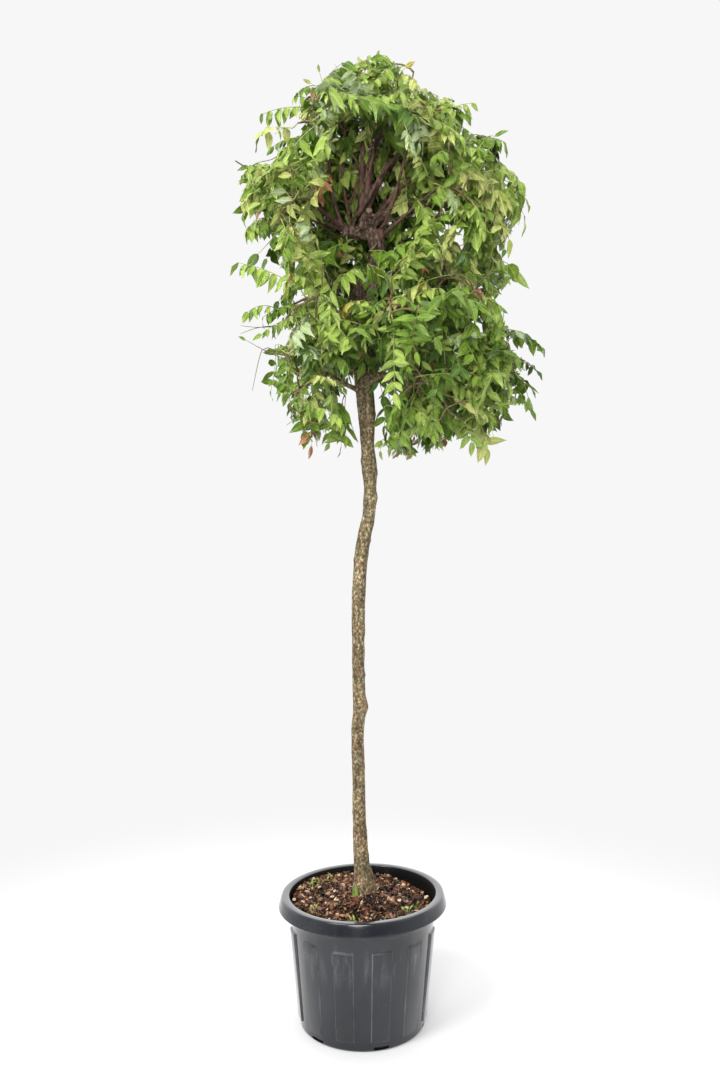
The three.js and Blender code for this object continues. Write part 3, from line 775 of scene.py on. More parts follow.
# %% The masses of the crown
# For each tier: how far its stems hang, how much its leaves climb, how steeply its boughs set out.
tiers = {
    "lower": (110, 100, -0.35, 0.5, {
        "left_front": [-165, -110, 1835], "left_back": [-150, 125, 1840], "front_right": [195, -215, 1825],
        "right": [375, -20, 1850], "back_right": [205, 215, 1835],
    }),
    "middle": (110, 60, 0, 0.4, {
        "left": [-240, -10, 2085], "front_left": [-135, -250, 2065], "front": [65, -290, 2020],
        "front_right": [270, -225, 2085], "right": [390, 30, 2100], "back_right": [215, 265, 2075],
        "back_left": [-110, 255, 2080],
    }),
    "upper": (110, 45, 0.1, 0.4, {
        "left": [-255, 10, 2340], "front_left": [-195, -225, 2310], "front_right": [245, -225, 2335],
        "right": [375, 20, 2360], "back_right": [195, 275, 2340], "back_left": [-110, 270, 2335],
    }),
    "shoulder": (105, 0, 0.35, 1, {
        "left": [-195, 30, 2545], "front_left": [-150, -165, 2520], "front_right": [185, -185, 2545],
        "right": [285, 40, 2550], "back": [45, 235, 2555],
    }),
    "top": (95, -90, 0.6, 2.4, {"left": [-60, 25, 2672], "right": [105, -15, 2680]}),
}
bough_routes = {
    "top_left": [[-31, 0, 2286], [-54, -6, 2418], [-60, -6, 2476], [-53, 12, 2592]],
    "top_right": [[7, -2, 2316], [25, -12, 2447], [39, -16, 2535], [90, -15, 2608]],
    "shoulder_right": [[-7, 2, 2295], [51, -8, 2435], [104, -4, 2508], [208, 20, 2548]],
    "shoulder_left": [
        [-36, -8, 2286], [-80, -14, 2316], [-139, -10, 2368], [-182, 0, 2392], [-194, 15, 2466],
    ],
    "upper_right": [[20, -10, 2290], [51, -18, 2324], [133, -10, 2370], [296, 16, 2368]],
}
pruned_lines = {
    "knuckle": (arched([20, 7, 2062], [-0.6, -0.2, 1], [-44, -8, 2172], 0.5), 32, 46),
    "head_arm": (arched([36, 4, 2290], [-1, -0.25, -0.1], [-56, -16, 2296], 0.5), 34, 38),
    "pruned_upright": (arched([-1, 4, 2300], [-0.03, -0.1, 1], [9, 6, 2640], 0.5), 21, 14),
    "pruned_stub": (arched([1, 10, 1868], [1, -0.3, 0.5], [88, -18, 1846], 0.5), 26, 13),
}
CROWN_HEART = np.array([20, 5, 0])
UP = np.array([0, 0, 1.0])

masses = []
for tier_name, (reach, hang, climb, rise, sides) in tiers.items():
    for side, centre in sides.items():
        centre = np.array(centre, float)
        outward = unit((centre - CROWN_HEART) * [1, 1, 0])
        masses.append({
            "name": tier_name + "_" + side, "tier": tier_name, "centre": centre, "outward": outward,
            "reach": reach, "hang": hang, "climb": climb, "rise": rise,
        })
centres = np.array([mass["centre"] for mass in masses])
print(len(masses), "masses")


# %% Boughs and the stems of the masses
def bough_start(mass, index):
    leftward = mass["centre"][0] < -100
    knuckle, head_arm = pruned_lines["knuckle"][0], pruned_lines["head_arm"][0]
    if mass["tier"] == "lower":
        return trunk_line.at(0.955 + 0.008 * index)
    if mass["tier"] != "middle":
        return (head_arm if leftward else leader_line).at(0.93)
    return knuckle.at(0.55) if leftward else leader_line.at(0.1 + 0.06 * (index - 5))


def bough_line(mass, index):
    if mass["name"] in bough_routes:
        return through(bough_routes[mass["name"]], 80)
    end = mass["centre"] - mass["outward"] * 80 + UP * mass["hang"] * 0.3
    return arched(bough_start(mass, index), mass["outward"] + UP * mass["rise"], end, 0.42)


for index, mass in enumerate(masses):
    mass["bough"] = bough_line(mass, index)
    tip, heading = mass["bough"].at(1), mass["bough"].heading(1)
    end = mass["centre"] + mass["outward"] * mass["reach"] * 0.5 - UP * mass["hang"]
    mass["stem"] = arched(tip, heading, end, 0.45)
print("boughs", round(sum(mass["bough"].length for mass in masses)), "mm in all")

# %% [markdown]
# The photograph shows more wood in the open front of the crown than the boughs that carry masses: a
# dark cut branch to the right, thin shoots that cross the head, stubs where older wood was taken
# off, and a dead bare twig far out on the left. Each is a short line with a thickness at both ends.

# %% More wood that shows
# Points in millimetres, then the thickness at the foot and at the tip.
shown_wood = {
    "right_fork": (
        [[-15, -22, 2337], [21, -40, 2388], [50, -48, 2439], [79, -50, 2475], [113, -44, 2521]],
        13, 9,
    ),
    "cut_branch": (
        [[113, -44, 2521], [137, -40, 2540], [179, -36, 2533], [210, -36, 2548], [276, -34, 2598]],
        11, 8,
    ),
    "fork_upright": (
        [[113, -44, 2521], [147, -40, 2574], [167, -36, 2601], [170, -30, 2637], [184, -26, 2659]],
        8, 4,
    ),
    "fork_shoot": ([[125, -42, 2532], [159, -50, 2555], [184, -54, 2579]], 7, 4),
    "bundle_first": (
        [[9, -30, 2395], [12, -46, 2463], [22, -52, 2511], [26, -54, 2540], [43, -50, 2614]],
        7, 4,
    ),
    "bundle_second": (
        [[-4, -28, 2350], [18, -40, 2440], [30, -46, 2500], [36, -50, 2533], [87, -60, 2603]],
        8, 5,
    ),
    "bundle_third": (
        [[18, -34, 2380], [20, -38, 2450], [18, -44, 2512], [30, -40, 2560], [24, -36, 2640]],
        6, 3.6,
    ),
    "bundle_fourth": (
        [[60, -50, 2452], [48, -54, 2470], [38, -56, 2490], [33, -56, 2526], [48, -58, 2570]],
        5, 3.4,
    ),
    "hooked_shoot": ([[48, -48, 2434], [60, -56, 2390], [72, -60, 2354]], 6, 4.5),
    "crossing_shoot": (
        [[-28, -24, 2282], [12, -44, 2303], [55, -58, 2330], [94, -66, 2349], [140, -74, 2368]],
        7, 4,
    ),
    "short_shoot": ([[36, -34, 2330], [79, -50, 2368], [115, -58, 2388], [162, -66, 2398]], 6, 3.6),
    "level_shoot": ([[50, -24, 2300], [79, -44, 2310], [128, -56, 2332]], 6, 3.6),
    "dark_peg": ([[16, -24, 2330], [36, -34, 2333], [62, -38, 2332]], 9, 7),
    "dark_stub": ([[40, -10, 2325], [96, -44, 2396], [138, -56, 2427], [162, -64, 2448]], 12, 12),
    "sawn_stub": ([[24, 2, 2300], [20, -18, 2330], [19, -40, 2345]], 26, 21),
    "left_fork": ([[-182, 0, 2392], [-194, -4, 2418], [-191, -2, 2470], [-186, 0, 2512]], 12, 7),
    "left_spur": ([[-170, -4, 2386], [-226, -12, 2389], [-262, -16, 2398], [-293, -15, 2409]], 10, 6),
    "left_stub": ([[-150, -8, 2235], [-190, -20, 2240], [-222, -26, 2252]], 13, 11),
    "dead_twig": ([[-262, -16, 2398], [-290, -24, 2440], [-330, -32, 2466], [-368, -38, 2489]], 9, 6),
    "low_left_twig": ([[7, 0, 1965], [-34, -34, 1946], [-74, -60, 1927]], 9, 5),
    "low_stub": ([[20, 6, 1872], [44, -6, 1882], [66, -14, 1881]], 12, 9),
    "inner_shoot": ([[-20, -20, 2320], [-24, -30, 2400], [-8, -36, 2470], [-4, -40, 2540]], 6, 3.6),
    "outer_shoot": ([[60, -46, 2440], [70, -50, 2500], [92, -54, 2560], [118, -60, 2610]], 6, 3.6),
    "front_left_shoot": ([[-44, -18, 2298], [-59, -40, 2303], [-71, -52, 2330], [-95, -60, 2390]], 10, 6),
    "left_upright": (
        [[-39, -10, 2342], [-51, -14, 2395], [-59, -16, 2487], [-50, -12, 2596], [-46, -8, 2680]],
        11, 7,
    ),
    "leaning_shoot": ([[-39, -14, 2376], [-29, -14, 2395], [-15, -10, 2439]], 7, 6),
    "side_shoot": ([[1, -4, 2528], [-22, -8, 2540], [-45, -12, 2558]], 6, 4.5),
    "inner_upright": ([[-30, 6, 2300], [-14, 20, 2400], [-20, 22, 2500], [-14, 20, 2620]], 11, 6),
    "back_upright": ([[30, 20, 2300], [66, 40, 2400], [84, 60, 2500], [96, 70, 2590]], 11, 6),
    "left_shoot": ([[-75, -70, 2062], [-110, -90, 2096], [-155, -104, 2124], [-197, -112, 2141]], 5, 3.4),
}
limbs = [("trunk", trunk_line, None), ("leader", leader_line, None)]
limbs += [(name, line, (foot, tip)) for name, (line, foot, tip) in pruned_lines.items()]
bough_sizes = {"lower": (16, 10), "middle": (14, 8), "upper": (15, 8), "shoulder": (13, 7), "top": (12, 7)}
limbs += [("bough_" + mass["name"], mass["bough"], bough_sizes[mass["tier"]]) for mass in masses]
limbs += [(name, through(points, 60), (foot, tip)) for name, (points, foot, tip) in shown_wood.items()]
mass_stems = [("stem_" + mass["name"], mass["stem"], (bough_sizes[mass["tier"]][1], 4.5)) for mass in masses]
print(len(limbs), "limbs, and", len(mass_stems), "stems of masses")


# %% Thickness along a limb
def stem_radius(line, shares):
    heights = line.at(shares)[:, 2] - FOOT
    return np.interp(heights, stem_stations[:, 0], stem_stations[:, 2]) / 2


def limb_radius(name, line, sizes, shares):
    """The radius at each share of a limb's length: a collar at its foot, then an even taper."""
    if name == "trunk":
        return stem_radius(line, shares)
    if name == "leader":
        return np.interp(shares, [0, 0.12, 0.6, 1], [54, 44, 36, 54]) / 2
    foot, tip = sizes
    radius = (foot + (tip - foot) * shares) / 2
    if name.startswith("stem_"):
        return radius
    collar = 1 + 0.32 * np.exp(-((shares * line.length / (foot * 0.8)) ** 2))
    knots = 1 + 0.07 * np.sin(shares * line.length / 17 + len(name)) * (foot < 30)
    return radius * collar * knots


# %% One tube for each limb
def ring_frames(points):
    """Two directions across the line at each point, carried along so that the tube doesn't twist."""
    tangents = unit(np.gradient(points, axis=0))
    side = unit(np.cross(tangents[0], [0.3, 1, 0.2]))
    sides = []
    for tangent in tangents:
        side = unit(side - tangent * np.dot(side, tangent))
        sides.append(side)
    sides = np.array(sides)
    return sides, np.cross(tangents, sides)


def limb_tube(name, line, sizes, around, ring_step):
    """A grid that is rolled up: its rows become rings on the line, and its ends close at a point."""
    rings = max(6, int(line.length / ring_step))
    shares = np.linspace(0, 1, rings)
    radius = limb_radius(name, line, sizes, shares)
    across, upward = (np.vstack([rows[:1], rows, rows[-1:]]) for rows in ring_frames(line.at(shares)))
    points = line.at(np.concatenate([[0], shares, [1]]))
    radius = np.concatenate([[0], radius, [0]])
    clear_selection()
    bpy.ops.mesh.primitive_grid_add(x_subdivisions=around, y_subdivisions=rings + 1, size=1)
    tube = bpy.context.object
    angle = np.tile(np.linspace(0, 2 * np.pi, around + 1), rings + 2)
    row = np.repeat(np.arange(rings + 2), around + 1)
    spoke = across[row] * np.cos(angle)[:, None] + upward[row] * np.sin(angle)[:, None]
    places = (points[row] + spoke * radius[row][:, None]) * MM
    tube.data.vertices.foreach_set("co", places.astype(np.float32).ravel())
    bpy.ops.object.mode_set(mode="EDIT")
    bpy.ops.mesh.select_all(action="SELECT")
    bpy.ops.mesh.remove_doubles(threshold=0.00001)
    bpy.ops.mesh.normals_make_consistent(inside=False)
    bpy.ops.object.mode_set(mode="OBJECT")
    return tube


tubes = []
for name, line, sizes in limbs:
    thick = name in ("trunk", "leader", "knuckle", "head_arm")
    tubes.append(limb_tube(name, line, sizes, 24 if thick else 12, 8 if thick else 10))
print(len(tubes), "tubes")

# %% Places along the limbs
limb_places, limb_sizes = [], []
for name, line, sizes in limbs + mass_stems:
    shares = np.linspace(0, 1, int(line.length / 9) + 2)
    limb_places.append(line.at(shares))
    limb_sizes.append(limb_radius(name, line, sizes, shares))
limb_places, limb_sizes = np.concatenate(limb_places), np.concatenate(limb_sizes)
limb_tree = KDTree(len(limb_places))
for number, spot in enumerate(limb_places):
    limb_tree.insert(spot, number)
limb_tree.balance()
print(len(limb_places), "places along the limbs")

# %% Melting the tubes into one skin
SKIN_VOXEL = 2.9  # small enough to keep a shoot 4 mm thick

clear_selection()
for tube in tubes:
    tube.select_set(True)
wood = tubes[0]
bpy.context.view_layer.objects.active = wood
bpy.ops.object.join()
wood.name = "wood"
remesh = wood.modifiers.new("one_skin", "REMESH")
remesh.mode = "VOXEL"
remesh.voxel_size = SKIN_VOXEL * MM
bpy.ops.object.modifier_apply(modifier=remesh.name)
rounding = wood.modifiers.new("round_crotches", "SMOOTH")
rounding.factor = 0.5
rounding.iterations = 4
bpy.ops.object.modifier_apply(modifier=rounding.name)
print("wood skin:", len(wood.data.polygons), "faces")

# %% [markdown]
# Bark on a stem of this age is thin: it shows the long strands of the wood below as soft ridges, has
# short raised pores that lie across the stem, and swells over every place where a side shoot was
# removed. Towards the fork the strands of the boughs run down it as flutes with dark furrows between.
# Each is a small push along the surface's own normal. The push is worked out from the place, so it
# needs no painting.

# %% The relief of the bark
# Height above the foot, degrees round (0 is right, -90 the front), width and push in millimetres.
stem_knots = [
    (545, 5, 30, 4.2), (545, 170, 22, 2.5), (1188, -70, 15, 3.2), (1196, -110, 9, -4), (1160, -50, 10, 3),
    (1232, -25, 18, 4), (1268, 160, 16, 3.5), (905, -100, 14, 2.4), (760, -60, 11, 2.2), (640, 20, 12, 2.6),
    (418, -120, 13, 2.2), (300, -40, 11, 1.8), (235, 175, 13, 2), (1035, 10, 15, 2.6), (980, -160, 13, 2.2),
    (1405, 35, 16, 4.5), (118, -75, 12, 1.8), (1160, 10, 26, 5), (52, -15, 34, 6), (14, -35, 34, 8),
    (10, 165, 26, 5),
]


def stem_push(place, heights, around):
    """Swellings and scars at their places, lobes at the root, and furrows under the fork."""
    push = np.zeros(len(place))
    radius = np.interp(heights, stem_stations[:, 0], stem_stations[:, 2]) / 2
    for height, degrees, width, rise in stem_knots:
        turn = np.angle(np.exp(1j * (around - math.radians(degrees)))) * radius
        push += rise * np.exp(-(((heights - height) ** 2 + turn**2) / (width / 1.6) ** 2))
    root = np.clip(1 - heights / 60, 0, 1) ** 1.5
    push += root * (4 + 4 * np.cos(3 * around + 0.5))
    fluted = np.clip((heights - 1240) / 160, 0, 1)
    furrows = np.abs(np.sin(2.5 * around + 0.4 + heights / 420)) ** 0.7
    return push + fluted * (furrows - 0.75) * 5.5


def bark_push(place, strong):
    """Ridges along the wood, pores across it and a fine grain, for one point in millimetres."""
    x, y, z = place
    ridge = noise.noise((x / 7, y / 7, z / 46))
    pore = max(0, noise.noise((x / 7, y / 7, z / 2.6 + 40)) - 0.22)
    lump = noise.noise((x / 26, y / 26, z / 34 + 9))
    grain = noise.noise((x / 3.2, y / 3.2, z / 3.2))
    return strong * (1.1 * ridge + 2.2 * pore + 1.9 * lump + 0.35 * grain)


count = len(wood.data.vertices)
place = np.empty(count * 3, np.float32)
wood.data.vertices.foreach_get("co", place)
place = place.reshape(-1, 3).astype(float) / MM
normal = np.empty(count * 3, np.float32)
wood.data.vertices.foreach_get("normal", normal)
normal = normal.reshape(-1, 3).astype(float)
heights = place[:, 2] - FOOT
middle_x = np.interp(heights, stem_stations[:, 0], stem_stations[:, 1])
middle_y = np.interp(heights, [0, stem_top], [FOOT_Y, FORK_Y])
off_x, off_y = place[:, 0] - middle_x, place[:, 1] - middle_y
around = np.arctan2(off_y, off_x)
on_stem = (heights < stem_top + 10) & (np.hypot(off_x, off_y) < 46)


def wood_thickness(spot):
    """The thickness of the stoutest limb whose surface is near."""
    near = [limb_sizes[k] for _, k, off in limb_tree.find_n(spot, 8) if off < limb_sizes[k] * 1.25 + 5]
    return 2 * max(near, default=3)


thickness = np.array([wood_thickness(spot) for spot in place])
strong = np.where(on_stem & (thickness > 26), 0.85, np.clip((thickness - 6) / 30, 0.08, 0.75))
push = np.array([bark_push(p, s) for p, s in zip(place, strong)])
below_fork = np.clip((stem_top - heights + 10) / 60, 0, 1)
push += np.where(on_stem, stem_push(place, heights, around), 0) * below_fork
place += normal * push[:, None]
wood.data.vertices.foreach_set("co", (place * MM).astype(np.float32).ravel())
wood.data.update()
thin = wood.data.attributes.new("thin", "FLOAT", "POINT")
thin.data.foreach_set("value", np.clip((26 - thickness) / 12, 0, 1).astype(np.float32))
print("bark pushed by", round(push.min(), 1), "to", round(push.max(), 1), "mm")

# %% [markdown]
# Stem and head are parted at the fork, because they are two finishes: the stem's bark is buff and
# speckled, the head's is darker. Bisect cuts the skin and fills the cut, once for each side.


# %% Parting stem and head
def part_at(piece, height, keep_low):
    select_where(piece, lambda place: True)
    plane = {"plane_co": (0, 0, height * MM), "plane_no": (0, 0, 1)}
    bpy.ops.mesh.bisect(**plane, use_fill=True, clear_outer=keep_low, clear_inner=not keep_low)
    clear_selection()


FORK = FOOT + stem_top
head = wood.copy()
head.data = wood.data.copy()
head.name = "head_and_boughs"
bpy.context.scene.collection.objects.link(head)
wood.name = "bare_stem"
for piece, height, keep_low in ((wood, FORK, True), (wood, FOOT - 6, False), (head, FORK, False)):
    clear_selection()
    bpy.context.view_layer.objects.active = piece
    piece.select_set(True)
    part_at(piece, height, keep_low)
print("stem", len(wood.data.polygons), "faces, head", len(head.data.polygons), "faces")

# %% [markdown]
# The stem's bark is olive grey with rust brown patches, which are larger low down, and over both lie
# pale flecks 2 to 4 mm across. Broad noise parts the two grounds, and its share rises towards the foot.
# A fine noise deals out each ground's own shades, from dark pits to pale flecks, and the strands are a
# noise stretched along the stem. The head is a darker, redder brown, plainer in patches, and its thin
# shoots are smooth, so an attribute that was stored with the relief fades the bark there.


# %% The bark of the stem and of the head
def bark_material(name, shades, fleck, dark_share, stretch, thin_shades):
    material, tree, shader = new_material(name)
    even = place_node(tree)
    along = place_node(tree, (1, 1, stretch))
    broad = noise_node(tree, even, 22, 3, 0.5)
    flecks = noise_node(tree, place_node(tree, (1, 1, 0.5)), 120, 5, 0.62)
    strands = noise_node(tree, along, 120, 5, 0.6)
    ground = ramp_node(tree, flecks, list(zip((0.33, 0.44, 0.53, 0.62), shades)))
    weathered = grey_ramp(tree, broad, (0.42, 0), (0.7, 0.55))
    tinted = mix_node(tree, weathered, ground, fleck)
    furrow = grey_ramp(tree, strands, (dark_share, 0.42), (dark_share + 0.14, 1))
    barked = product_node(tree, tinted, furrow)
    young = ramp_node(tree, strands, [(0.36, thin_shades[0]), (0.62, thin_shades[1])])
    thin_share = tree.nodes.new("ShaderNodeAttribute")
    thin_share.attribute_name = "thin"
    coloured = mix_node(tree, thin_share.outputs["Fac"], barked, young)
    tree.links.new(coloured, shader.inputs["Base Color"])
    tree.links.new(grey_ramp(tree, flecks, (0.3, 0.95), (0.7, 0.72)), shader.inputs["Roughness"])
    coarse = bump_node(tree, strands, 0.5, 0.0016)
    tree.links.new(bump_node(tree, flecks, 0.45, 0.0010, coarse), shader.inputs["Normal"])
    return material


def stem_material():
    material, tree, shader = new_material("mottled_stem_bark")
    even = place_node(tree)
    parts = parts_of(tree, even)
    height = math_node(tree, "MULTIPLY", parts["Z"], 0.5)
    low = grey_ramp(tree, height, (0.3, 0.07), (0.8, 0))
    broad = noise_node(tree, place_node(tree, (1, 1, 0.5)), 55, 5, 0.62)
    rusty_share = math_node(tree, "ADD", broad, low)
    rusty_share = grey_ramp(tree, rusty_share, (0.54, 0), (0.64, 1))
    flecks = noise_node(tree, place_node(tree, (1, 1, 0.8)), 140, 7, 0.74)
    olive = [linear(54, 45, 27), linear(94, 82, 52), linear(130, 116, 82), linear(194, 184, 152)]
    rusty = [linear(68, 46, 29), linear(110, 83, 54), linear(146, 119, 86), linear(208, 192, 162)]
    steps = (0.37, 0.46, 0.54, 0.64)
    shades = [ramp_node(tree, flecks, list(zip(steps, ground))) for ground in (olive, rusty)]
    ground = mix_node(tree, rusty_share, *shades)
    strands = noise_node(tree, place_node(tree, (1, 1, 0.12)), 95, 4, 0.55)
    furrow = grey_ramp(tree, strands, (0.36, 0.62), (0.52, 1))
    stains = noise_node(tree, place_node(tree, (1, 1, 0.45)), 26, 3, 0.5)
    stained = grey_ramp(tree, stains, (0.42, 0.45), (0.56, 0))
    furrow = mix_node(tree, stained, furrow, linear(130, 124, 116))
    tree.links.new(product_node(tree, ground, furrow), shader.inputs["Base Color"])
    tree.links.new(grey_ramp(tree, flecks, (0.3, 0.9), (0.7, 0.68)), shader.inputs["Roughness"])
    coarse = bump_node(tree, strands, 0.4, 0.0016)
    tree.links.new(bump_node(tree, flecks, 0.5, 0.0010, coarse), shader.inputs["Normal"])
    return material


stem_bark = stem_material()
head_bark = bark_material(
    "dark_head_bark",
    [linear(44, 32, 26), linear(74, 55, 45), linear(100, 79, 66), linear(138, 120, 104)],
    linear(88, 66, 50), 0.38, 0.5, (linear(58, 39, 33), linear(110, 80, 66)),
)
finish_piece(wood, stem_bark, ["trunk"], smooth=70)
head_nodes = [n for n in nodes if n.startswith("bough_") or n in ("leader", *pruned_lines)]
finish_piece(head, head_bark, head_nodes, smooth=70)

# %% [markdown]
# ## The space of the crown
#
# The photograph gives the crown's edge on both sides at every height. Leaves may grow up to that edge
# and no further, which keeps the true ragged outline. Seen from the side the crown is about as deep
# as it is wide. Three kinds of place stay empty: the opening in the front that shows the pruned head,
# the stretch round the bare stem, and the holes through which the sky shows. The opening and the
# holes were measured in the picture, so a point is first carried along its line of sight to the
# plane through the stem, and is compared there.

# %% The measured outline
# Height, then the left and the right edge in that plane.
outline_rows = np.array([
    [1618, -150, 300], [1640, -172, 385], [1688, -192, 410], [1746, -225, 448], [1805, -262, 480],
    [1863, -282, 490], [1922, -270, 500], [1980, -262, 490], [2038, -262, 420], [2097, -255, 400],
    [2155, -245, 440], [2234, -255, 418], [2272, -300, 441], [2330, -340, 480], [2389, -366, 484],
    [2447, -364, 462], [2506, -310, 390], [2564, -205, 350], [2600, -190, 310], [2622, -195, 300],
    [2681, -206, 265], [2739, -140, 165], [2783, -50, 112], [2806, 10, 66],
], float)
# Sideways place, and the lowest that leaves hang there.
hanging_rows = np.array([
    [-310, 1860], [-270, 1800], [-220, 1745], [-180, 1690], [-150, 1660], [-120, 1690], [-40, 1690],
    [30, 1640], [130, 1625], [220, 1645], [245, 1690], [365, 1685], [410, 1720], [450, 1745],
    [500, 1790], [540, 1850],
], float)
# The solids' rule: height, middle and radius of the crown.
crown_rows = np.array([
    [1622, 105, 262], [1746, 113, 335], [1863, 110, 388], [1980, 121, 412], [2060, 64, 392],
    [2160, 50, 405], [2262, 46, 378], [2389, 57, 425], [2506, 60, 372], [2622, 34, 305], [2739, 20, 170],
    [2812, 28, 90],
], float)
# Height, then the left and the right edge of the opening.
window_rows = np.array([
    [2100, -80, -10], [2140, -92, 20], [2200, -98, 40], [2257, -96, 110], [2316, -150, 180],
    [2389, -135, 182], [2440, -84, 160], [2500, -84, 140], [2564, -80, 105], [2605, -60, 70],
    [2640, -36, 26],
], float)
# The middle of each hole, and half its width and height.
sky_holes = [
    (212, 2290, 20, 28), (287, 2284, 17, 46), (252, 2326, 11, 8), (189, 2216, 14, 9), (336, 2027, 20, 20),
    (440, 1980, 20, 28), (-188, 2202, 11, 26), (-182, 2111, 20, 28), (-226, 1990, 11, 18),
    (203, 2526, 13, 14),
    (250, 2488, 9, 16), (-38, 2504, 15, 18), (66, 1822, 26, 86), (414, 2452, 16, 12), (-250, 1905, 16, 20),
    (-96, 1760, 12, 16), (-150, 1840, 10, 18), (-200, 2350, 9, 14), (150, 1700, 14, 20), (390, 2380, 7, 16),
]
CAMERA_FAR, CAMERA_TALL, CAMERA_ASIDE = 2690, 1396, -7.3


def seen_from_front(points):
    """Where the line of sight through a point meets the plane through the stem."""
    nearer = CAMERA_FAR / (CAMERA_FAR + points[:, 1])
    x = (points[:, 0] - CAMERA_ASIDE) * nearer + CAMERA_ASIDE
    return x, (points[:, 2] - CAMERA_TALL) * nearer + CAMERA_TALL


def in_outline(points, share=1):
    """Inside the measured edge as the camera sees it, and inside the crown's depth."""
    x, z = seen_from_front(points)
    left, right = (np.interp(z, outline_rows[:, 0], outline_rows[:, k]) for k in (1, 2))
    middle, half = (left + right) / 2, (right - left) / 2 * share
    in_view = (abs(x - middle) < half) & (z > outline_rows[0, 0]) & (z < outline_rows[-1, 0])
    in_view &= z > np.interp(x, hanging_rows[:, 0], hanging_rows[:, 1]) + 120 * (1 - share)
    centre, radius = (np.interp(points[:, 2], crown_rows[:, 0], crown_rows[:, k]) for k in (1, 2))
    place = points.mean(0) / (150, 150, 110)
    depth = radius * share * (0.99 + 0.14 * noise.noise(place))
    round_way = ((points[:, 0] - centre) / (radius * 1.1)) ** 2 + ((points[:, 1] - 5) / depth) ** 2 < 1
    return in_view & round_way & (points[:, 2] < 2822)


def in_opening(points):
    x, z = seen_from_front(points)
    left, right = (np.interp(z, window_rows[:, 0], window_rows[:, k]) for k in (1, 2))
    in_front = points[:, 1] < -22
    inside = in_front & (x > left) & (x < right) & (z > window_rows[0, 0]) & (z < window_rows[-1, 0])
    for hole_x, hole_z, half_wide, half_tall in sky_holes:
        inside |= ((x - hole_x) / half_wide) ** 2 + ((z - hole_z) / half_tall) ** 2 < 0.7
    by_stem = (points[:, 2] < 1884) & (points[:, 0] > -34) & (points[:, 0] < 60)
    return inside | by_stem


print("crown from", outline_rows[0, 0], "to", outline_rows[-1, 0], "mm high,", len(sky_holes), "holes")


# %% Keeping clear of the wood
def clear_of_wood(points, room):
    off = np.linalg.norm(points[:, None] - limb_places[None], axis=2)
    return (off > limb_sizes[None] + room).all(1)


# %% [markdown]
# ## Twigs
#
# The solids' rule for twigs is kept. Seeded guesses inside a mass's space, well apart, are the goals;
# a twig leaves the mass's stem near the place that is nearest to its goal, heads for it, and is
# shortened until it fits. Here the rule is carried one step further: side twigs leave those twigs for
# goals that lie closer together, and reach almost to the crown's edge.


# %% The rule for twigs
def seeded(seed):
    """The same seed always gives the same numbers, each from 0 to 1."""
    state = seed & 0xFFFFFFFF

    def draw():
        nonlocal state
        state = (state + 0x6D2B79F5) & 0xFFFFFFFF
        mixed = ((state ^ (state >> 15)) * (state | 1)) & 0xFFFFFFFF
        mixed ^= (mixed + (((mixed ^ (mixed >> 7)) * (mixed | 61)) & 0xFFFFFFFF)) & 0xFFFFFFFF
        return ((mixed ^ (mixed >> 14)) & 0xFFFFFFFF) / 4294967296

    return draw


def stays_in_space(point, index, margin):
    """Inside the crown, out of the opening, and nearer to its own mass's middle than to any other."""
    middle, radius = (np.interp(point[2], crown_rows[:, 0], crown_rows[:, k]) for k in (1, 2))
    in_crown = crown_rows[0, 0] < point[2] < crown_rows[-1, 0]
    if not in_crown or math.hypot(point[0] - middle, point[1] - 5) > radius or in_opening(point[None])[0]:
        return False
    own = np.linalg.norm(point - centres[index])
    others = np.delete(centres, index, 0)
    apart = np.linalg.norm(others - centres[index], axis=1)
    away = (((point - others) ** 2).sum(1) - own**2) / (2 * apart)
    return bool((away > margin).all())


def goals_for(index, draw, most, apart, edge):
    """Up to so many places in a mass's space that stay apart from each other and from its edge."""
    goals = []
    for _ in range(400):
        guess = centres[index] + (np.array([draw(), draw(), draw()]) - 0.5) * 440
        if len(goals) == most:
            break
        alone = all(np.linalg.norm(goal - guess) > apart for goal in goals)
        if alone and stays_in_space(guess, index, edge):
            goals.append(guess)
    return goals


def twig_towards(goal, starts, fits):
    """A twig from the start nearest to its goal, shortened until it fits."""
    start = starts[np.argmin(np.linalg.norm(starts - goal, axis=1))]
    heading, length = unit(goal - start), np.linalg.norm(goal - start) * 0.9
    while length > 30:
        places = start + heading * length * np.array([[0.35], [0.7], [1.0]])
        if fits(places):
            return start, heading, length
        length *= 0.82
    return None


# %% Growing the twigs
# How far apart goals lie, how many there are, their room at the edge, foot, tip, and waywardness.
twig_orders = [(95, 9, 15, 6.4, 3.4, 0.8), (62, 14, 6, 3.9, 2.2, 1.1)]
twigs = []  # each with its mass, its line, its thickness, and where on which twig it starts
for index, mass in enumerate(masses):
    draw = seeded(101 + index)

    def fits(places, index=index):
        kept = all(stays_in_space(place, index, 4) for place in places) and in_outline(places, 0.88).all()
        return bool(kept and clear_of_wood(places[1:], 6).all())

    stem_shares = np.arange(0.1, 0.95, 0.08)
    starts = [(None, share, mass["stem"].at_parameter(np.array([share]))[0]) for share in stem_shares]
    for apart, most, edge, foot, tip, wild in twig_orders:
        grown = []
        places = np.array([place for _, _, place in starts])
        for goal in goals_for(index, draw, most, apart, edge):
            found = twig_towards(goal, places, fits)
            if not found:
                continue
            start, heading, length = found
            parent, share, _ = starts[int(np.argmin(np.linalg.norm(places - start, axis=1)))]
            bow = unit(heading + wild * (np.array([draw(), draw(), draw()]) - 0.5) + UP * 0.2)
            line = arched(start, bow, start + heading * length, 0.5, 14)
            sizes = {"foot": foot, "tip": tip}
            twigs.append({"mass": index, "line": line, "parent": parent, "from": share, **sizes})
            grown.append(len(twigs) - 1)
        starts = starts[3:]
        for number in grown:
            for share in (0.35, 0.55, 0.75, 0.92):
                starts.append((number, share, twigs[number]["line"].at(share)))
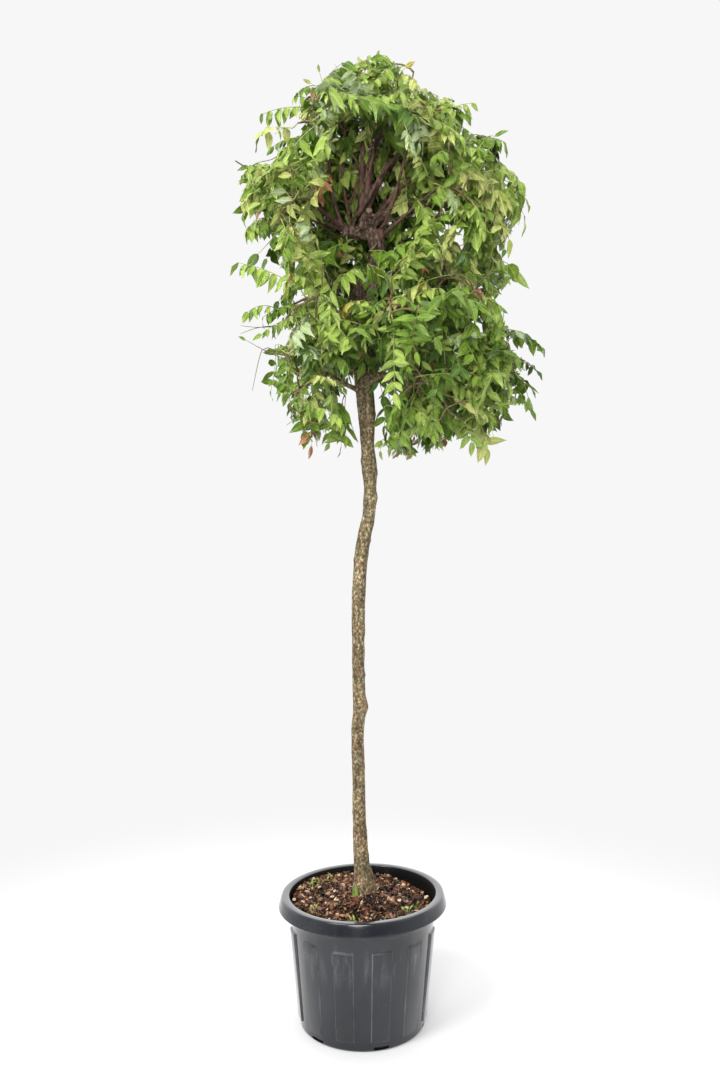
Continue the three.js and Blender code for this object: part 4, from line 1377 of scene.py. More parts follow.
print(len(twigs), "twigs,", round(sum(twig["line"].length for twig in twigs) / 1000, 1), "m in all")

# %% [markdown]
# ## Leaves
#
# A wisteria's leaf is a feather: a stalk up to 200 mm long that arches over and carries 9 to 17
# leaflets in pairs, with one at its end. Each leaflet is pointed, folded a little along its middle,
# and hangs from the stalk by gravity. One leaflet is modelled in edit mode from a narrow grid, in a
# few variants, and everything after that is arrays: a stalk for each leaf, and a copy of a leaflet
# for each place on it.

# %% One leaflet
# Place along the leaflet, half width, and how much it is lowered, as shares of its length and width.
leaflet_rows = [
    (0.0, 0.03, 0.0), (0.07, 0.26, 0.0), (0.2, 0.43, 0.01), (0.37, 0.5, 0.03),
    (0.56, 0.46, 0.07), (0.74, 0.31, 0.13), (0.88, 0.12, 0.18), (1.0, 0.0, 0.23),
]


def leaflet_shape(name, sag, fold, wave):
    clear_selection()
    bpy.ops.mesh.primitive_grid_add(x_subdivisions=2, y_subdivisions=len(leaflet_rows) - 1, size=1)
    leaflet = start_piece(name)
    for row, (along, half, lowered) in enumerate(leaflet_rows):
        level = row / (len(leaflet_rows) - 1) - 0.5
        select_where(leaflet, lambda place: abs(place.y - level) < 0.01)
        stretch(half * 2, 1, 1)
        lift = wave * math.sin(row * 2.1)
        bpy.ops.transform.translate(value=(0.03 * wave * row, along - 0.5 - level, lift - lowered * sag))
    select_where(leaflet, lambda place: abs(place.x) < 0.03 and abs(place.y) < 0.49)
    bpy.ops.transform.translate(value=(0, 0, -fold))
    bpy.ops.mesh.select_all(action="SELECT")
    bpy.ops.mesh.remove_doubles(threshold=0.03)
    bpy.ops.mesh.quads_convert_to_tris()
    bpy.ops.mesh.normals_make_consistent(inside=False)
    clear_selection()
    face_down = leaflet.data.polygons[0].normal.z < 0
    vertices, faces = take_arrays(leaflet)
    vertices[:, 1] += 0.5
    return vertices, faces[:, ::-1] if face_down else faces


leaflet_shapes = [
    leaflet_shape("leaflet_flat", 0.7, 0.03, 0.004),
    leaflet_shape("leaflet_arched", 1.6, 0.05, -0.008),
    leaflet_shape("leaflet_folded", 0.9, 0.09, 0.01),
    leaflet_shape("leaflet_wavy", 1.2, 0.045, 0.022),
]
print("leaflets of", [len(faces) for _, faces in leaflet_shapes], "triangles")


# %% One feathered leaf
def stalk_line(root, heading, length, droop, count=9):
    """The stalk sets out along its heading and is bent down more and more."""
    points, direction = [np.array(root, float)], unit(heading)
    for _ in range(count - 1):
        direction = unit(direction - UP * droop * (1.15 - abs(direction[2]) * 0.5) / (count - 1))
        points.append(points[-1] + direction * length / (count - 1))
    return np.array(points)


def leaflets_on(stalk, size, pairs, hang, random, bare=0.3):
    """Base, heading, width direction and length of every leaflet on one stalk, past its bare part."""
    rows = []
    line = Line(stalk)
    level = unit(np.cross(line.heading(0.5), UP) + 1e-6)
    for k in range(pairs + 1):
        share = bare + (0.98 - bare) * k / pairs
        along, base = line.heading(share), line.at(share)
        across = unit(np.cross(along, UP) * 1.0 + level * 0.4)
        longest = size * (36 + 17 * math.sin(math.pi * (0.2 + 0.65 * k / pairs)))
        sides = (1, -1) if k < pairs else (0,)
        for side in sides:
            down = hang * random.uniform(0.7, 1.3)
            spread = along * (0.5 if side else 1.2) + across * side * 0.95
            heading = unit(spread - UP * down + random.normal(0, 0.26, 3))
            width_way = along if side else across * random.uniform(-0.8, 0.8) + UP
            width_way = unit(width_way + random.normal(0, 0.4, 3))
            width_way = unit(width_way - heading * np.dot(width_way, heading))
            rows.append((base, heading, width_way, longest * random.uniform(0.86, 1.12)))
    return rows


def trimmed(stalk, rows, share):
    """The leaflets that have room, and the stalk up to the last of them; nothing where too few have."""
    bases = np.array([row[0] for row in rows])
    tips = bases + np.array([row[1] * row[3] for row in rows])
    middles = (bases + tips) / 2
    fine = in_outline(np.vstack([tips, middles]), share) & ~in_opening(np.vstack([tips, middles]))
    fine = fine[: len(rows)] & fine[len(rows) :] & clear_of_wood(middles, 2)
    if fine.mean() < 0.6 or not clear_of_wood(stalk[3:], 1).all() or in_opening(stalk[2:]).any():
        return None
    kept = [row for row, good in zip(rows, fine) if good]
    last = np.linalg.norm(stalk - kept[-1][0], axis=1).argmin()
    return np.vstack([stalk[:last], kept[-1][0]]) if last > 2 else None, kept


# %% Where leaves may stand
GOLDEN = math.radians(137.5)
candidates = []  # mass, twig, share along it, root, heading there, a way out


def way_out(heading, turn):
    """A direction square to a heading, turned round it."""
    first = unit(np.cross(heading, UP + 0.01))
    return first * math.cos(turn) + np.cross(heading, first) * math.sin(turn)


for number, twig in enumerate(twigs):
    count = max(2, int(twig["line"].length / 20))
    for k in range(count):
        share = 1 - 0.93 * k / count
        heading = twig["line"].heading(share)
        out = way_out(heading, number * 1.7 + k * GOLDEN)
        candidates.append((twig["mass"], number, share, twig["line"].at(share), heading, out))
for index, mass in enumerate(masses):
    for k, share in enumerate((0.98, 0.86, 0.74, 0.62, 0.5, 0.38, 0.26)):
        heading = mass["stem"].heading(share)
        out = way_out(heading, index + k * GOLDEN)
        candidates.append((index, None, share, mass["stem"].at(share), heading, out))

# Shoots behind and between the head's limbs carry leaves too.
HIGH_BOUGHS = ("bough_top", "bough_shoulder")
behind = [line for name, line, _ in limbs if name.startswith(HIGH_BOUGHS) or "upright" in name]
for number, line in enumerate(behind):
    for k in range(int(line.length / 26)):
        share = 0.3 + 0.7 * k / (line.length / 26)
        turn = math.radians(150 * noise.noise((number * 3.1, k * 1.7, 0.5)))
        out = np.array([math.sin(turn), math.cos(turn), 0.1])
        root = line.at(share)
        index = int(np.argmin(np.linalg.norm(centres - root, axis=1)))
        candidates.append((index, None, share, root, line.heading(share), out))
print(len(candidates), "places for leaves")

# %% Growing the leaves
# Size, how much leaflets hang, and how much the stalk droops: tried in turn until a leaf fits.
leaf_habits = [(1.05, 0.4, 0.8), (0.9, 0.7, 1.3), (0.8, 0.3, 0.4), (0.7, 0.9, 1.7), (0.55, 0.5, 0.9)]


def room_between(middle):
    """How far apart the middles of leaves stay: less outside and at the top, more at the edges."""
    inner = 1 - min(1, np.linalg.norm((middle - [60, 5, middle[2]])[:2]) / 300)
    at_edge = not in_outline(middle[None], 0.82)[0]
    low_left = middle[0] < -150 and middle[2] < 2060
    return 29 + 12 * inner - 6 * (middle[2] > 2640) + 10 * at_edge + 14 * low_left


random = np.random.default_rng(7)
order = sorted(range(len(candidates)), key=lambda i: (candidates[i][2] < 0.97, random.random()))
leaves, leaf_middles, reach, stem_reach = [], np.empty((0, 3)), {}, {}
for i in order:
    index, number, share, root, heading, out = candidates[i]
    mass, at_end = masses[index], share > 0.97
    for size, hang, droop in leaf_habits:
        size, droop = size * random.uniform(0.76, 1.14), droop * random.uniform(0.7, 1.3)
        size *= 0.7 if root[2] > 2650 else 1
        onward, sideways = (1.0, 0.35) if at_end else (0.5, 0.8)
        way = unit(heading * onward + out * sideways + mass["outward"] * 0.3)
        way = unit(way + UP * (0.4 + 0.4 * mass["climb"]) + random.normal(0, 0.15, 3))
        stalk = stalk_line(root, way, 200 * size, droop)
        middle = stalk[6]
        crowded = np.linalg.norm(leaf_middles - middle, axis=1) < room_between(middle)
        if crowded.any():
            continue
        pairs = 4 + int(size * 2.8 * random.uniform(0.6, 1.25))
        rows = leaflets_on(stalk, size, pairs, hang, random)
        kept = trimmed(stalk, rows, 1 - 0.2 * random.random() ** 1.4)
        if kept and kept[0] is not None:
            leaves.append((index, *kept, None))
            leaf_middles = np.vstack([leaf_middles, middle])
            if number is None and np.allclose(root, mass["stem"].at(share)):
                stem_reach[index] = max(stem_reach.get(index, 0), share)
            elif number is not None:
                reach[number] = max(reach.get(number, 0), share)
            break
print(len(leaves), "leaves with", sum(len(leaf[2]) for leaf in leaves), "leaflets")

# Twigs end at their last leaf or side twig, and bare ones are left out.
for number in range(len(twigs) - 1, -1, -1):
    twig = twigs[number]
    if number in reach and twig["parent"] is not None:
        reach[twig["parent"]] = max(reach.get(twig["parent"], 0), twig["from"])
    elif number in reach:
        stem_reach[twig["mass"]] = max(stem_reach.get(twig["mass"], 0), twig["from"])
print(len(reach), "of the twigs carry leaves")

# %% [markdown]
# ### Leaves at known places
#
# Some leaves give this plant its own look: single feathers that stand out from the crown, long strings
# that hang free, and sprays in front of the pruned head. They were measured in the picture, so each
# comes as two points in the plane through the stem and a depth, which is carried back along the line of
# sight. Its stalk sets out from the nearest twig or limb, so that it grows from something on every side.


# %% Leaves that stand out
def placed(x, z, y):
    """The point at depth y whose line of sight crosses the plane through the stem at x and z."""
    farther = (CAMERA_FAR + y) / CAMERA_FAR
    x = (x - CAMERA_ASIDE) * farther + CAMERA_ASIDE
    return np.array([x, y, (z - CAMERA_TALL) * farther + CAMERA_TALL])


# The colours of leaves, by number. The grey green one is a painted sheen.
DEEP, MID, FRESH, SHEEN_GREY, LIME, YELLOW, RUST = range(7)
# Root, tip, depth, pairs of leaflets, their length, how much they hang, the stalk's arch, colour.
standing_out = [
    (-150, 2657, -293, 2640, -30, 5, 42, 1.3, 12, FRESH),
    (-215, 2600, -305, 2572, -40, 3, 44, 0.6, 14, LIME),
    (-190, 2570, -262, 2545, -20, 3, 40, 0.9, 8, MID),
    (-197, 2141, -364, 2206, -150, 7, 44, 1.3, 10, FRESH),
    (-262, 2076, -336, 2062, -60, 3, 36, 0.8, 12, FRESH),
    (-200, 2085, -292, 2046, -30, 4, 38, 0.8, 8, MID),
    (-205, 2045, -296, 1996, -50, 4, 36, 0.7, 8, FRESH),
    (-190, 2150, -246, 2092, -20, 3, 44, 0.8, 8, DEEP),
    (-225, 2300, -282, 2216, -20, 3, 52, 0.4, 0, DEEP),
    (-250, 2290, -306, 2230, -40, 1, 60, 0.3, 0, DEEP),
    (-310, 2440, -350, 2345, -40, 4, 40, 0.5, 10, MID),
    (-300, 2500, -350, 2460, -90, 3, 34, 0.6, 8, FRESH),
    (-255, 2470, -335, 2488, -60, 3, 38, 1.0, 8, MID),
    (-120, 2655, -196, 2694, -10, 4, 34, 1.0, 10, FRESH),
    (-100, 2690, -152, 2730, -10, 2, 30, 0.4, 6, LIME),
    (-110, 2705, -126, 2764, 0, 1, 26, -0.4, 0, LIME),
    (-62, 2720, -70, 2764, -10, 1, 28, -0.3, 0, FRESH),
    (-8, 2730, -6, 2780, -20, 1, 30, -0.4, 0, LIME),
    (14, 2740, 18, 2796, -10, 2, 28, -0.4, 0, FRESH),
    (36, 2740, 42, 2800, -20, 2, 28, -0.4, 0, LIME),
    (56, 2735, 58, 2790, -10, 1, 28, -0.4, 0, YELLOW),
    (-90, 2690, -84, 2736, -30, 2, 32, 0.4, 0, YELLOW),
    (0, 2705, 84, 2668, -150, 5, 56, 0.7, 10, SHEEN_GREY),
    (76, 2715, 150, 2660, -140, 5, 54, 0.7, 10, SHEEN_GREY),
    (110, 2705, 168, 2688, -110, 4, 42, 0.8, 8, YELLOW),
    (160, 2680, 236, 2668, -60, 4, 38, 0.8, 8, LIME),
    (220, 2660, 262, 2684, -20, 2, 34, 0.3, 6, FRESH),
    (-225, 1945, -214, 1795, -60, 5, 40, 0.2, -18, MID),
    (-250, 1960, -268, 1830, -30, 4, 38, 0.2, -14, MID),
    (-150, 1830, -168, 1712, -40, 4, 52, 0.3, 0, MID),
    (-140, 1760, -150, 1670, -50, 2, 44, 0.2, 0, RUST),
    (-85, 1830, -60, 1750, -50, 3, 62, 0.3, 0, MID),
    (-70, 1750, -62, 1670, -60, 3, 44, 0.3, 0, FRESH),
    (-100, 1740, -96, 1680, -30, 2, 40, 0.3, 0, MID),
    (-52, 1760, -48, 1700, -40, 2, 50, 0.3, 0, FRESH),
    (-300, 2480, -338, 2420, -40, 4, 44, 0.7, 8, FRESH),
    (-290, 2330, -340, 2300, -20, 3, 48, 0.9, 10, FRESH),
    (325, 2580, 392, 2530, -20, 4, 46, 0.6, 16, DEEP),
    (330, 2560, 412, 2560, -50, 4, 44, 0.9, 12, MID),
    (330, 2530, 400, 2505, -40, 3, 46, 0.9, 8, DEEP),
    (345, 2560, 388, 2575, -10, 1, 48, -0.6, 8, MID),
    (350, 2490, 462, 2440, -60, 5, 44, 0.8, 26, FRESH),
    (390, 2450, 480, 2390, -40, 4, 42, 0.7, 18, MID),
    (360, 2110, 408, 2050, -40, 3, 40, 0.5, 6, MID),
    (350, 2080, 392, 2020, -60, 3, 38, 0.5, 6, DEEP),
    (235, 2640, 318, 2672, -20, 4, 36, 0.8, 8, FRESH),
    (240, 2640, 300, 2640, -30, 3, 38, 0.7, 8, MID),
    (410, 2010, 490, 1990, -40, 4, 38, 0.6, 8, DEEP),
    (430, 1985, 526, 1958, -30, 5, 36, 0.6, 16, MID),
    (440, 1850, 492, 1775, -30, 3, 38, 0.3, 6, MID),
    (440, 1930, 510, 1890, -40, 4, 36, 0.5, 8, DEEP),
    (430, 1890, 495, 1835, -30, 4, 36, 0.5, 8, DEEP),
    (470, 1860, 484, 1812, -30, 1, 56, 0.2, 0, MID),
    (370, 2215, 450, 2180, -60, 3, 62, 1.5, 14, FRESH),
    (330, 2480, 474, 2340, -130, 6, 58, 1.0, 42, FRESH),
    (250, 2470, 420, 2390, -190, 6, 58, 1.0, 40, LIME),
    (200, 2440, 330, 2290, -230, 6, 56, 0.9, 40, FRESH),
    (300, 2420, 430, 2270, -160, 6, 56, 0.9, 40, LIME),
    (150, 2400, 210, 2270, -190, 5, 52, 0.8, 24, FRESH),
    (340, 1760, 364, 1660, -60, 4, 56, 0.2, 0, LIME),
    (300, 1740, 320, 1680, -80, 3, 46, 0.3, 0, FRESH),
    (-150, 2380, -170, 2350, -200, 0, 100, 2.5, 0, LIME),
    (100, 2740, 126, 2776, -20, 2, 34, 0.7, 4, YELLOW),
    (90, 2040, 94, 1820, -300, 6, 40, 0.2, 0, FRESH),
    (88, 2640, 66, 2545, -80, 2, 80, 0.5, 0, MID),
    (-60, 2570, -34, 2510, -30, 3, 46, 0.8, 6, FRESH),
    (0, 2560, 26, 2500, -20, 3, 44, 0.8, 6, FRESH),
    (60, 2540, 40, 2478, 10, 3, 46, 0.8, 6, FRESH),
    (100, 2510, 122, 2450, -30, 3, 46, 0.8, 6, LIME),
    (-40, 2480, -72, 2424, -20, 3, 46, 0.8, 6, FRESH),
    (-10, 2450, 12, 2392, 10, 3, 46, 0.8, 6, FRESH),
    (-90, 2460, -104, 2398, -40, 3, 44, 0.8, 6, MID),
    (70, 2440, 92, 2384, 0, 3, 46, 0.8, 6, FRESH),
    (130, 2430, 112, 2372, -30, 3, 44, 0.8, 6, LIME),
    (-100, 2390, -80, 2340, -20, 2, 44, 0.8, 6, MID),
    (150, 2490, 162, 2426, -50, 3, 44, 0.8, 6, FRESH),
    (20, 2630, 8, 2570, -40, 3, 46, 0.8, 6, LIME),
    (-20, 2400, -46, 2350, 0, 2, 44, 0.8, 6, FRESH),
    (-30, 2600, -48, 2545, -40, 2, 44, 0.8, 6, MID),
    (120, 2580, 132, 2520, -40, 2, 44, 0.8, 6, LIME),
    (30, 2700, 24, 2625, -110, 3, 56, 0.5, 10, MID),
    (-110, 2640, -96, 2600, -130, 1, 62, 0.6, 4, SHEEN_GREY),
    (-120, 2600, -130, 2470, -130, 5, 56, 0.6, 10, MID),
    (150, 2640, 160, 2540, -110, 4, 54, 0.6, 10, MID),
    (190, 2560, 200, 2450, -120, 4, 52, 0.6, 10, FRESH),
    (20, 2240, 118, 2196, -130, 5, 56, 0.6, 20, MID),
    (10, 2200, 96, 2140, -150, 5, 54, 0.6, 16, MID),
    (-10, 2190, -70, 2150, -170, 4, 52, 0.6, 10, FRESH),
    (-45, 2262, -130, 2215, -110, 4, 58, 0.7, 12, MID),
    (44, 1885, 60, 1815, -20, 1, 58, 0.6, 0, DEEP),
    (70, 1850, 84, 1790, -10, 1, 50, 0.4, 0, MID),
    (0, 1950, 2, 1915, -60, 1, 54, 1.0, 0, MID),
    (66, 1790, 64, 1700, -40, 3, 44, 0.4, 0, MID),
    (58, 1690, 52, 1655, -40, 1, 30, 0.6, 0, FRESH),
    (-126, 2540, -132, 2450, -190, 3, 46, 0.9, 0, SHEEN_GREY),
    (-128, 2470, -138, 2385, -196, 3, 36, 1.3, 0, RUST),
    (-112, 2450, -118, 2400, -190, 1, 34, 1.3, 0, RUST),
    (0, 1965, -2, 1950, -130, 0, 26, 1.0, 0, RUST),
    (-134, 1905, -138, 1890, -110, 1, 28, 0.8, 0, RUST),
    (182, 2195, 184, 2180, -280, 1, 26, 0.8, 0, RUST),
    (236, 1710, 240, 1692, -60, 1, 30, 0.8, 0, RUST),
    (150, 1715, 152, 1698, -120, 1, 26, 0.8, 0, RUST),
]

carriers, carrier_masses = [], []
for number, far in reach.items():
    for share in np.linspace(0.15, far, 5):
        carriers.append(twigs[number]["line"].at(share))
        carrier_masses.append(twigs[number]["mass"])
for index, mass in enumerate(masses):
    for share in np.linspace(0.05, 1, 8):
        carriers += [mass["bough"].at(share), mass["stem"].at(share * stem_reach.get(index, 0))]
        carrier_masses += [index, index]
carriers, carrier_masses = np.array(carriers), np.array(carrier_masses)
carrier_x, carrier_z = seen_from_front(carriers)


def nearest_carrier(x, z, depth):
    """The place on a twig or limb that is nearest in the picture, and roughly at that depth."""
    aside = (carrier_x - x) ** 2 + (carrier_z - z) ** 2
    return int(np.argmin(aside + (0.4 * (carriers[:, 1] - depth)) ** 2))


random = np.random.default_rng(5)
for root_x, root_z, tip_x, tip_z, depth, pairs, longest, hang, arch, colour in standing_out:
    nearest = nearest_carrier(root_x, root_z, depth)
    root_depth = (depth + carriers[nearest, 1]) / 2
    root, tip = placed(root_x, root_z, root_depth), placed(tip_x, tip_z, depth)
    blade = through([root, (root + tip) / 2 + UP * arch, tip], 40)
    rows = leaflets_on(blade.at(np.linspace(0, 1, 9)), longest / 47, max(1, pairs), hang, random, 0.12)
    rows = rows if pairs else rows[-1:]
    sagging = (carriers[nearest] + root) / 2 - UP * 6
    held = through([carriers[nearest], sagging, root, *blade.at(np.linspace(0.3, 1, 3))], 60)
    leaves.append((int(carrier_masses[nearest]), held.at(np.linspace(0, 1, 14)), rows, colour))
longest_stalk = max(np.linalg.norm(leaf[1][0] - leaf[1][-1]) for leaf in leaves)
print(len(standing_out), "leaves stand out, and the longest stalk spans", round(longest_stalk), "mm")

# %% [markdown]
# ### Colours of the leaves
#
# New leaves at the top and at the tips are yellow green, and old ones inside are deep green. The same
# spread also stands in for light: the deeper colours inside and low down are partly painted shade, and
# the fresher ones at the edge and at the top are partly painted light. Some leaves are a pale grey green
# that is a painted sheen, and a few are turning yellow or have died to rust. Each leaf is given one of
# those colours by where it stands and by chance, and in a few places on the front by painted light and
# shade. The finish is the same for all: a soft gloss, a fine mottling, a pale midrib with faint veins,
# and a few dry spots.


# %% Leaf finishes
def leaf_material(name, dark, light):
    """A leaflet's own map runs across it in u, with the midrib at one half, and along it in v."""
    material, tree, shader = new_material(name)
    vector = place_node(tree)
    mottle = noise_node(tree, vector, 38, 4, 0.6)
    blade = ramp_node(tree, mottle, [(0.38, dark), (0.6, light)])
    spots = noise_node(tree, vector, 95, 3, 0.7)
    spotted = grey_ramp(tree, spots, (0.71, 0), (0.77, 0.75))
    blade = mix_node(tree, spotted, blade, linear(150, 118, 58))
    own_map = tree.nodes.new("ShaderNodeUVMap")
    own_map.uv_map = "leaflet"
    parts = parts_of(tree, own_map.outputs["UV"])
    across = math_node(tree, "SUBTRACT", parts["X"], 0.5)
    across = math_node(tree, "ABSOLUTE", across)
    rib = grey_ramp(tree, across, (0.02, 0.75), (0.07, 0))
    slanted = math_node(tree, "SUBTRACT", parts["Y"], across)
    slanted = math_node(tree, "MULTIPLY", slanted, 52)
    veins = math_node(tree, "SINE", slanted)
    vein_share = grey_ramp(tree, veins, (0.6, 0), (1.0, 0.42))
    pale = tuple(min(1, channel * 1.25 + 0.05) for channel in light[:3]) + (1,)
    with_veins = mix_node(tree, vein_share, blade, pale)
    tree.links.new(mix_node(tree, rib, with_veins, pale), shader.inputs["Base Color"])
    fine = noise_node(tree, vector, 260, 3, 0.6)
    tree.links.new(grey_ramp(tree, fine, (0.3, 0.24), (0.7, 0.4)), shader.inputs["Roughness"])
    below = bump_node(tree, fine, 0.3, 0.0012)
    tree.links.new(bump_node(tree, veins, 0.6, 0.0012, below), shader.inputs["Normal"])
    shader.inputs["Specular IOR Level"].default_value = 0.5
    return material


# The dark and the light of each colour's mottling, in the order of their numbers.
leaf_shades = [
    ("deep_green_leaf", (48, 82, 6), (82, 114, 22)),
    ("mid_green_leaf", (78, 114, 16), (118, 148, 44)),
    ("fresh_green_leaf", (110, 144, 38), (158, 180, 82)),
    # Grey green is a painted sheen on glossy leaves.
    ("painted_sheen_leaf", (126, 148, 86), (172, 188, 142)),
    ("lime_leaf", (146, 164, 66), (194, 198, 118)),
    ("yellow_leaf", (150, 146, 50), (204, 190, 96)),
    ("rust_leaf", (116, 68, 40), (172, 116, 76)),
]
leaf_finishes = [leaf_material(name, linear(*dark), linear(*light)) for name, dark, light in leaf_shades]
# How often each colour comes: inside the crown, outside, in painted sunlight, and in painted shade.
inside_shares = np.array([0.32, 0.42, 0.2, 0.05, 0.01, 0.0, 0.0])
outside_shares = np.array([0.05, 0.32, 0.38, 0.11, 0.13, 0.01, 0.0])
sunlit_shares = np.array([0.02, 0.28, 0.5, 0.07, 0.13, 0.0, 0.0])
shaded_shares = np.array([0.3, 0.42, 0.19, 0.03, 0.05, 0.01, 0.0])
# Across, up, and the shares there, for the front of the crown: painted light at the upper right
# and low on the left, painted shade low in the middle.
zones = [
    ((140, 600), (2150, 2720), sunlit_shares),
    ((-60, 250), (1600, 2150), shaded_shares),
    ((-400, -60), (1600, 2150), outside_shares),
]


def colour_of(leaf_middle, random):
    """Deeper colours inside and low down, fresher out at the edge and top: partly age, partly painted light
    and shade.
    """
    off = np.linalg.norm((leaf_middle - [60, 5, 0])[:2]) / 330
    high = (leaf_middle[2] - 1900) / 800
    # Leaves round the open head get the outside colours as painted light, where the crown shades them.
    near_head = abs(leaf_middle[0] - 20) < 170 and 2280 < leaf_middle[2] < 2620
    outer = min(1, max(float(near_head), off * 0.8 + high * 0.5 - 0.1))
    shares = inside_shares * (1 - outer) + outside_shares * outer
    # The front's zones paint light and shade into the leaves' colours.
    for (left, right), (low, top), zone_shares in zones:
        if left < leaf_middle[0] < right and low < leaf_middle[2] < top and leaf_middle[1] < 40:
            shares = zone_shares
    return random.choice(len(leaf_shades), p=shares / shares.sum())


# %% Joining leaflets, stalks and twigs
def join_leaflets(name, chosen, random, replaced=()):
    rows = []
    for leaflets, colour in chosen:
        withered = random.integers(1, 3) if random.random() < 0.015 and len(leaflets) > 5 else 0
        for k, row in enumerate(leaflets):
            rows.append((*row, RUST if k >= len(leaflets) - withered else colour))
    base, heading, width_way = (np.array([row[k] for row in rows]) for k in (0, 1, 2))
    length = np.array([row[3] for row in rows])
    colour = np.array([row[4] for row in rows])
    facing = np.cross(width_way, heading)
    flip = np.where(facing[:, 2] < 0, -1, 1)[:, None]
    width_way, facing = width_way * flip, facing * flip
    kinds = random.integers(0, len(leaflet_shapes), len(rows))
    width = length * random.uniform(0.38, 0.52, len(rows))
    bend, twist = random.uniform(0, 0.34, len(rows)), random.normal(0, 0.5, len(rows))
    wave, phase = random.uniform(0, 0.06, len(rows)), random.uniform(0, 6.28, len(rows))
    vertices, faces, tints, maps, start = [], [], [], [], 0
    for kind, (shape, shape_faces) in enumerate(leaflet_shapes):
        own = np.flatnonzero(kinds == kind)
        x, y, z = (np.repeat(shape[None, :, k], len(own), 0) for k in range(3))
        turn = twist[own, None] * y
        ripple = np.sin(9 * y + phase[own, None] + 3 * np.sign(x)) * abs(x) * 2
        curl = z - bend[own, None] * y**2 + wave[own, None] * ripple
        wide = x * width[own, None] * np.cos(turn)
        tall = curl * length[own, None] + x * width[own, None] * np.sin(turn)
        places = base[own, None] + wide[..., None] * width_way[own, None]
        places = places + (y * length[own, None])[..., None] * heading[own, None]
        places = places + tall[..., None] * facing[own, None]
        vertices.append(places.reshape(-1, 3))
        steps = start + np.arange(len(own))[:, None, None] * len(shape)
        faces.append((shape_faces[None] + steps).reshape(-1, 3))
        tints.append(np.repeat(colour[own], len(shape_faces)))
        corner = np.stack([shape[:, 0] + 0.5, shape[:, 1]], 1)[shape_faces.ravel()]
        maps.append(np.tile(corner, (len(own), 1)))
        start += len(own) * len(shape)
    piece = mesh_piece(name, vertices, faces, None, replaced)
    for material in leaf_finishes:
        piece.data.materials.append(material)
    piece.data.polygons.foreach_set("material_index", np.concatenate(tints).astype(np.int32))
    leaflet_map = piece.data.uv_layers.new(name="leaflet")
    leaflet_map.data.foreach_set("uv", np.concatenate(maps).astype(np.float32).ravel())


def tube_arrays(points, radii, sides, start):
    """A closed tube of triangles along a few points."""
    across, upward = ring_frames(points)
    angles = np.linspace(0, 2 * np.pi, sides, endpoint=False)
    rings = across[:, None] * np.cos(angles)[:, None] + upward[:, None] * np.sin(angles)[:, None]
    vertices = (points[:, None] + rings * np.asarray(radii)[:, None, None]).reshape(-1, 3)
    vertices = np.vstack([vertices, points[:1], points[-1:]])
    faces, last = [], len(points) - 1
    for ring in range(last):
        for k in range(sides):
            a, b = ring * sides + k, ring * sides + (k + 1) % sides
            faces += [(a, b, b + sides), (a, b + sides, a + sides)]
    foot, tip = len(vertices) - 2, len(vertices) - 1
    for k in range(sides):
        faces.append((foot, (k + 1) % sides, k))
        faces.append((tip, last * sides + k, last * sides + (k + 1) % sides))
    return vertices, np.array(faces) + start


def join_tubes(name, tubes_to_join, material):
    vertices, faces, start = [], [], 0
    for points, radii, sides in tubes_to_join:
        made, made_faces = tube_arrays(points, radii, sides, start)
        vertices.append(made)
        faces.append(made_faces)
        start += len(made)
    mesh_piece(name, vertices, faces, material)


def plain_bark(name, dark, light, scale):
    material, tree, shader = new_material(name)
    vector = place_node(tree)
    mottle = noise_node(tree, vector, scale, 4, 0.6)
    tree.links.new(ramp_node(tree, mottle, [(0.35, dark), (0.65, light)]), shader.inputs["Base Color"])
    shader.inputs["Roughness"].default_value = 0.7
    tree.links.new(bump_node(tree, mottle, 0.4, 0.001), shader.inputs["Normal"])
    return material


twig_bark = plain_bark("twig_bark", linear(72, 58, 38), linear(122, 104, 66), 160)
stalk_green = plain_bark("stalk_green", linear(132, 140, 74), linear(170, 172, 104), 120)
random = np.random.default_rng(21)
for tier in tiers:
    own = [leaf[1:] for leaf in leaves if masses[leaf[0]]["tier"] == tier]
    solids = ["foliage_" + mass["name"] for mass in masses if mass["tier"] == tier]
    chosen = [
        (rows, colour_of(stalk[len(stalk) // 2], random) if colour is None else colour)
        for stalk, rows, colour in own
    ]
    join_leaflets("leaves_" + tier, chosen, random, solids)
    stalks = []
    for stalk, _, colour in own:
        foot, around = (1.4, 3) if colour is None else (2.0, 4)
        stalks.append((stalk, np.linspace(foot, 0.7, len(stalk)), around))
    join_tubes("leaf_stalks_" + tier, stalks, stalk_green)
    made = []
    for number, twig in enumerate(twigs):
        if masses[twig["mass"]]["tier"] == tier and number in reach:
            radii = np.linspace(twig["foot"], twig["tip"], 8) / 2
            made.append((twig["line"].at(np.linspace(0, reach[number], 8)), radii, 5))
    for index, far in stem_reach.items():
        if masses[index]["tier"] == tier:
            foot = bough_sizes[tier][1]
            radii = np.linspace(foot, 4.5, 12) / 2
            made.append((masses[index]["stem"].at(np.linspace(0, far, 12)), radii, 7))
    join_tubes("twigs_" + tier, made, twig_bark)

# %% [markdown]
# ## Small things
#
# Old cuts end in a disc of paler wood, where it has dried. A few weed seedlings have come up in the
# mulch, a fallen leaflet leans on the foot of the stem and another lies in front, and bare thin shoots
# hang out, most of them on the left. They are small, but the eye looks for them in the picture.

# %% The cut ends
cut_wood = plain_bark("cut_wood", linear(112, 92, 74), linear(160, 138, 112), 220)
cut_limbs = ["cut_branch", "dark_stub", "sawn_stub", "left_fork", "left_stub", "low_stub"]
cut_limbs += ["dark_peg", "pruned_stub"]
cut_ends = []
for name, line, sizes in limbs:
    if name in cut_limbs:
        end, heading = line.at(1), line.heading(1)
        points = np.array([end - heading * 1.5, end + heading * 1.2, end + heading * 1.6])
        cut_ends.append((points, sizes[1] / 2 * np.array([0.82, 0.82, 0.7]), 14))
join_tubes("cut_ends", cut_ends, cut_wood)

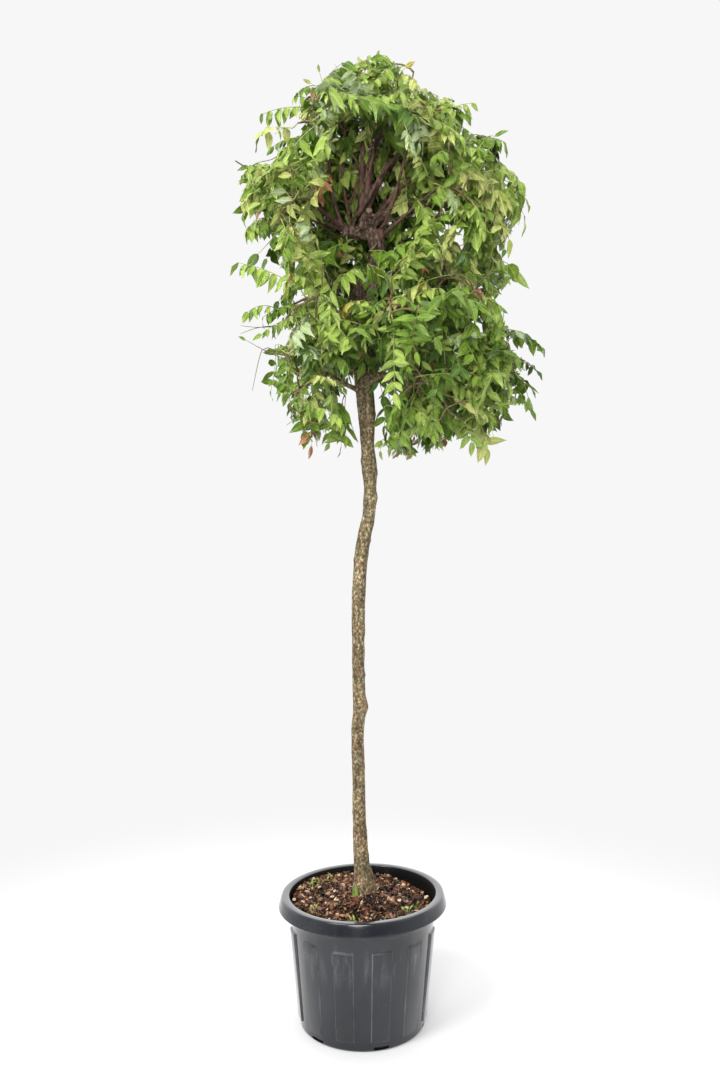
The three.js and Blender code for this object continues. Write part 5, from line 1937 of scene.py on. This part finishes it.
# %% The seedlings and the fallen leaves
random = np.random.default_rng(31)
seedling_places = [(-128, 95), (-150, 60), (-135, -110), (-20, -172), (128, -95), (30, -190)]
seedling_places += [(-90, 128), (152, -60)]
seedling_leaflets, seedling_stalks = [], []
for x, y in seedling_places:
    root = np.array([x, y, mix_height(x, y) + 2])
    for _ in range(5):
        lean = unit([random.normal(0, 0.6), random.normal(0, 0.6), 1])
        top = root + lean * random.uniform(10, 24)
        seedling_stalks.append((np.array([root, (root + top) / 2, top]), [0.7, 0.6, 0.4], 3))
        way = unit(lean + random.normal(0, 0.5, 3))
        side = unit(np.cross(way, random.normal(0, 1, 3)))
        seedling_leaflets.append((top, way, side, random.uniform(9, 17)))
fallen_foot = np.array([-22, -24, 357])
fallen_flat = np.array([96, -128, 347])
fallen = [
    (fallen_foot, unit([0.1, 0.25, 1]), unit([1, 0.2, 0]), 40),
    (fallen_flat, unit([1, 0.4, 0.1]), unit([0.3, -1, 0.3]), 34),
]
join_leaflets("seedlings", [(seedling_leaflets, FRESH), (fallen, MID)], random)
join_tubes("seedling_stalks", seedling_stalks, stalk_green)

# %% The bare shoots
bare_shoots = [
    [[-200, 2020], [-305, 2017], [-356, 2022]], [[-240, 2010], [-305, 2016], [-356, 1999]],
    [[-200, 1930], [-274, 1945], [-341, 1980]], [[-223, 1936], [-288, 1957], [-298, 1938], [-322, 1832]],
    [[-190, 1925], [-240, 1930], [-276, 1943]], [[-210, 1930], [-214, 1880], [-220, 1800]],
    [[430, 1935], [490, 1905], [506, 1890]],
]
thin_shoots = []
for route in bare_shoots:
    root = carriers[nearest_carrier(*route[0], -40)]
    points = [root] + [placed(x, z, root[1] * 0.7 - 20) for x, z in route[1:]]
    thin_shoots.append((through(points, 30).at(np.linspace(0, 1, 12)), np.linspace(1.6, 0.6, 12), 4))
join_tubes("thin_shoots", thin_shoots, twig_bark)
before, end = thin_shoots[2][0][-2:]
end_leaf = [(end, unit(end - before), UP, 26)]
join_leaflets("thin_shoot_leaf", [(end_leaf, MID)], random)
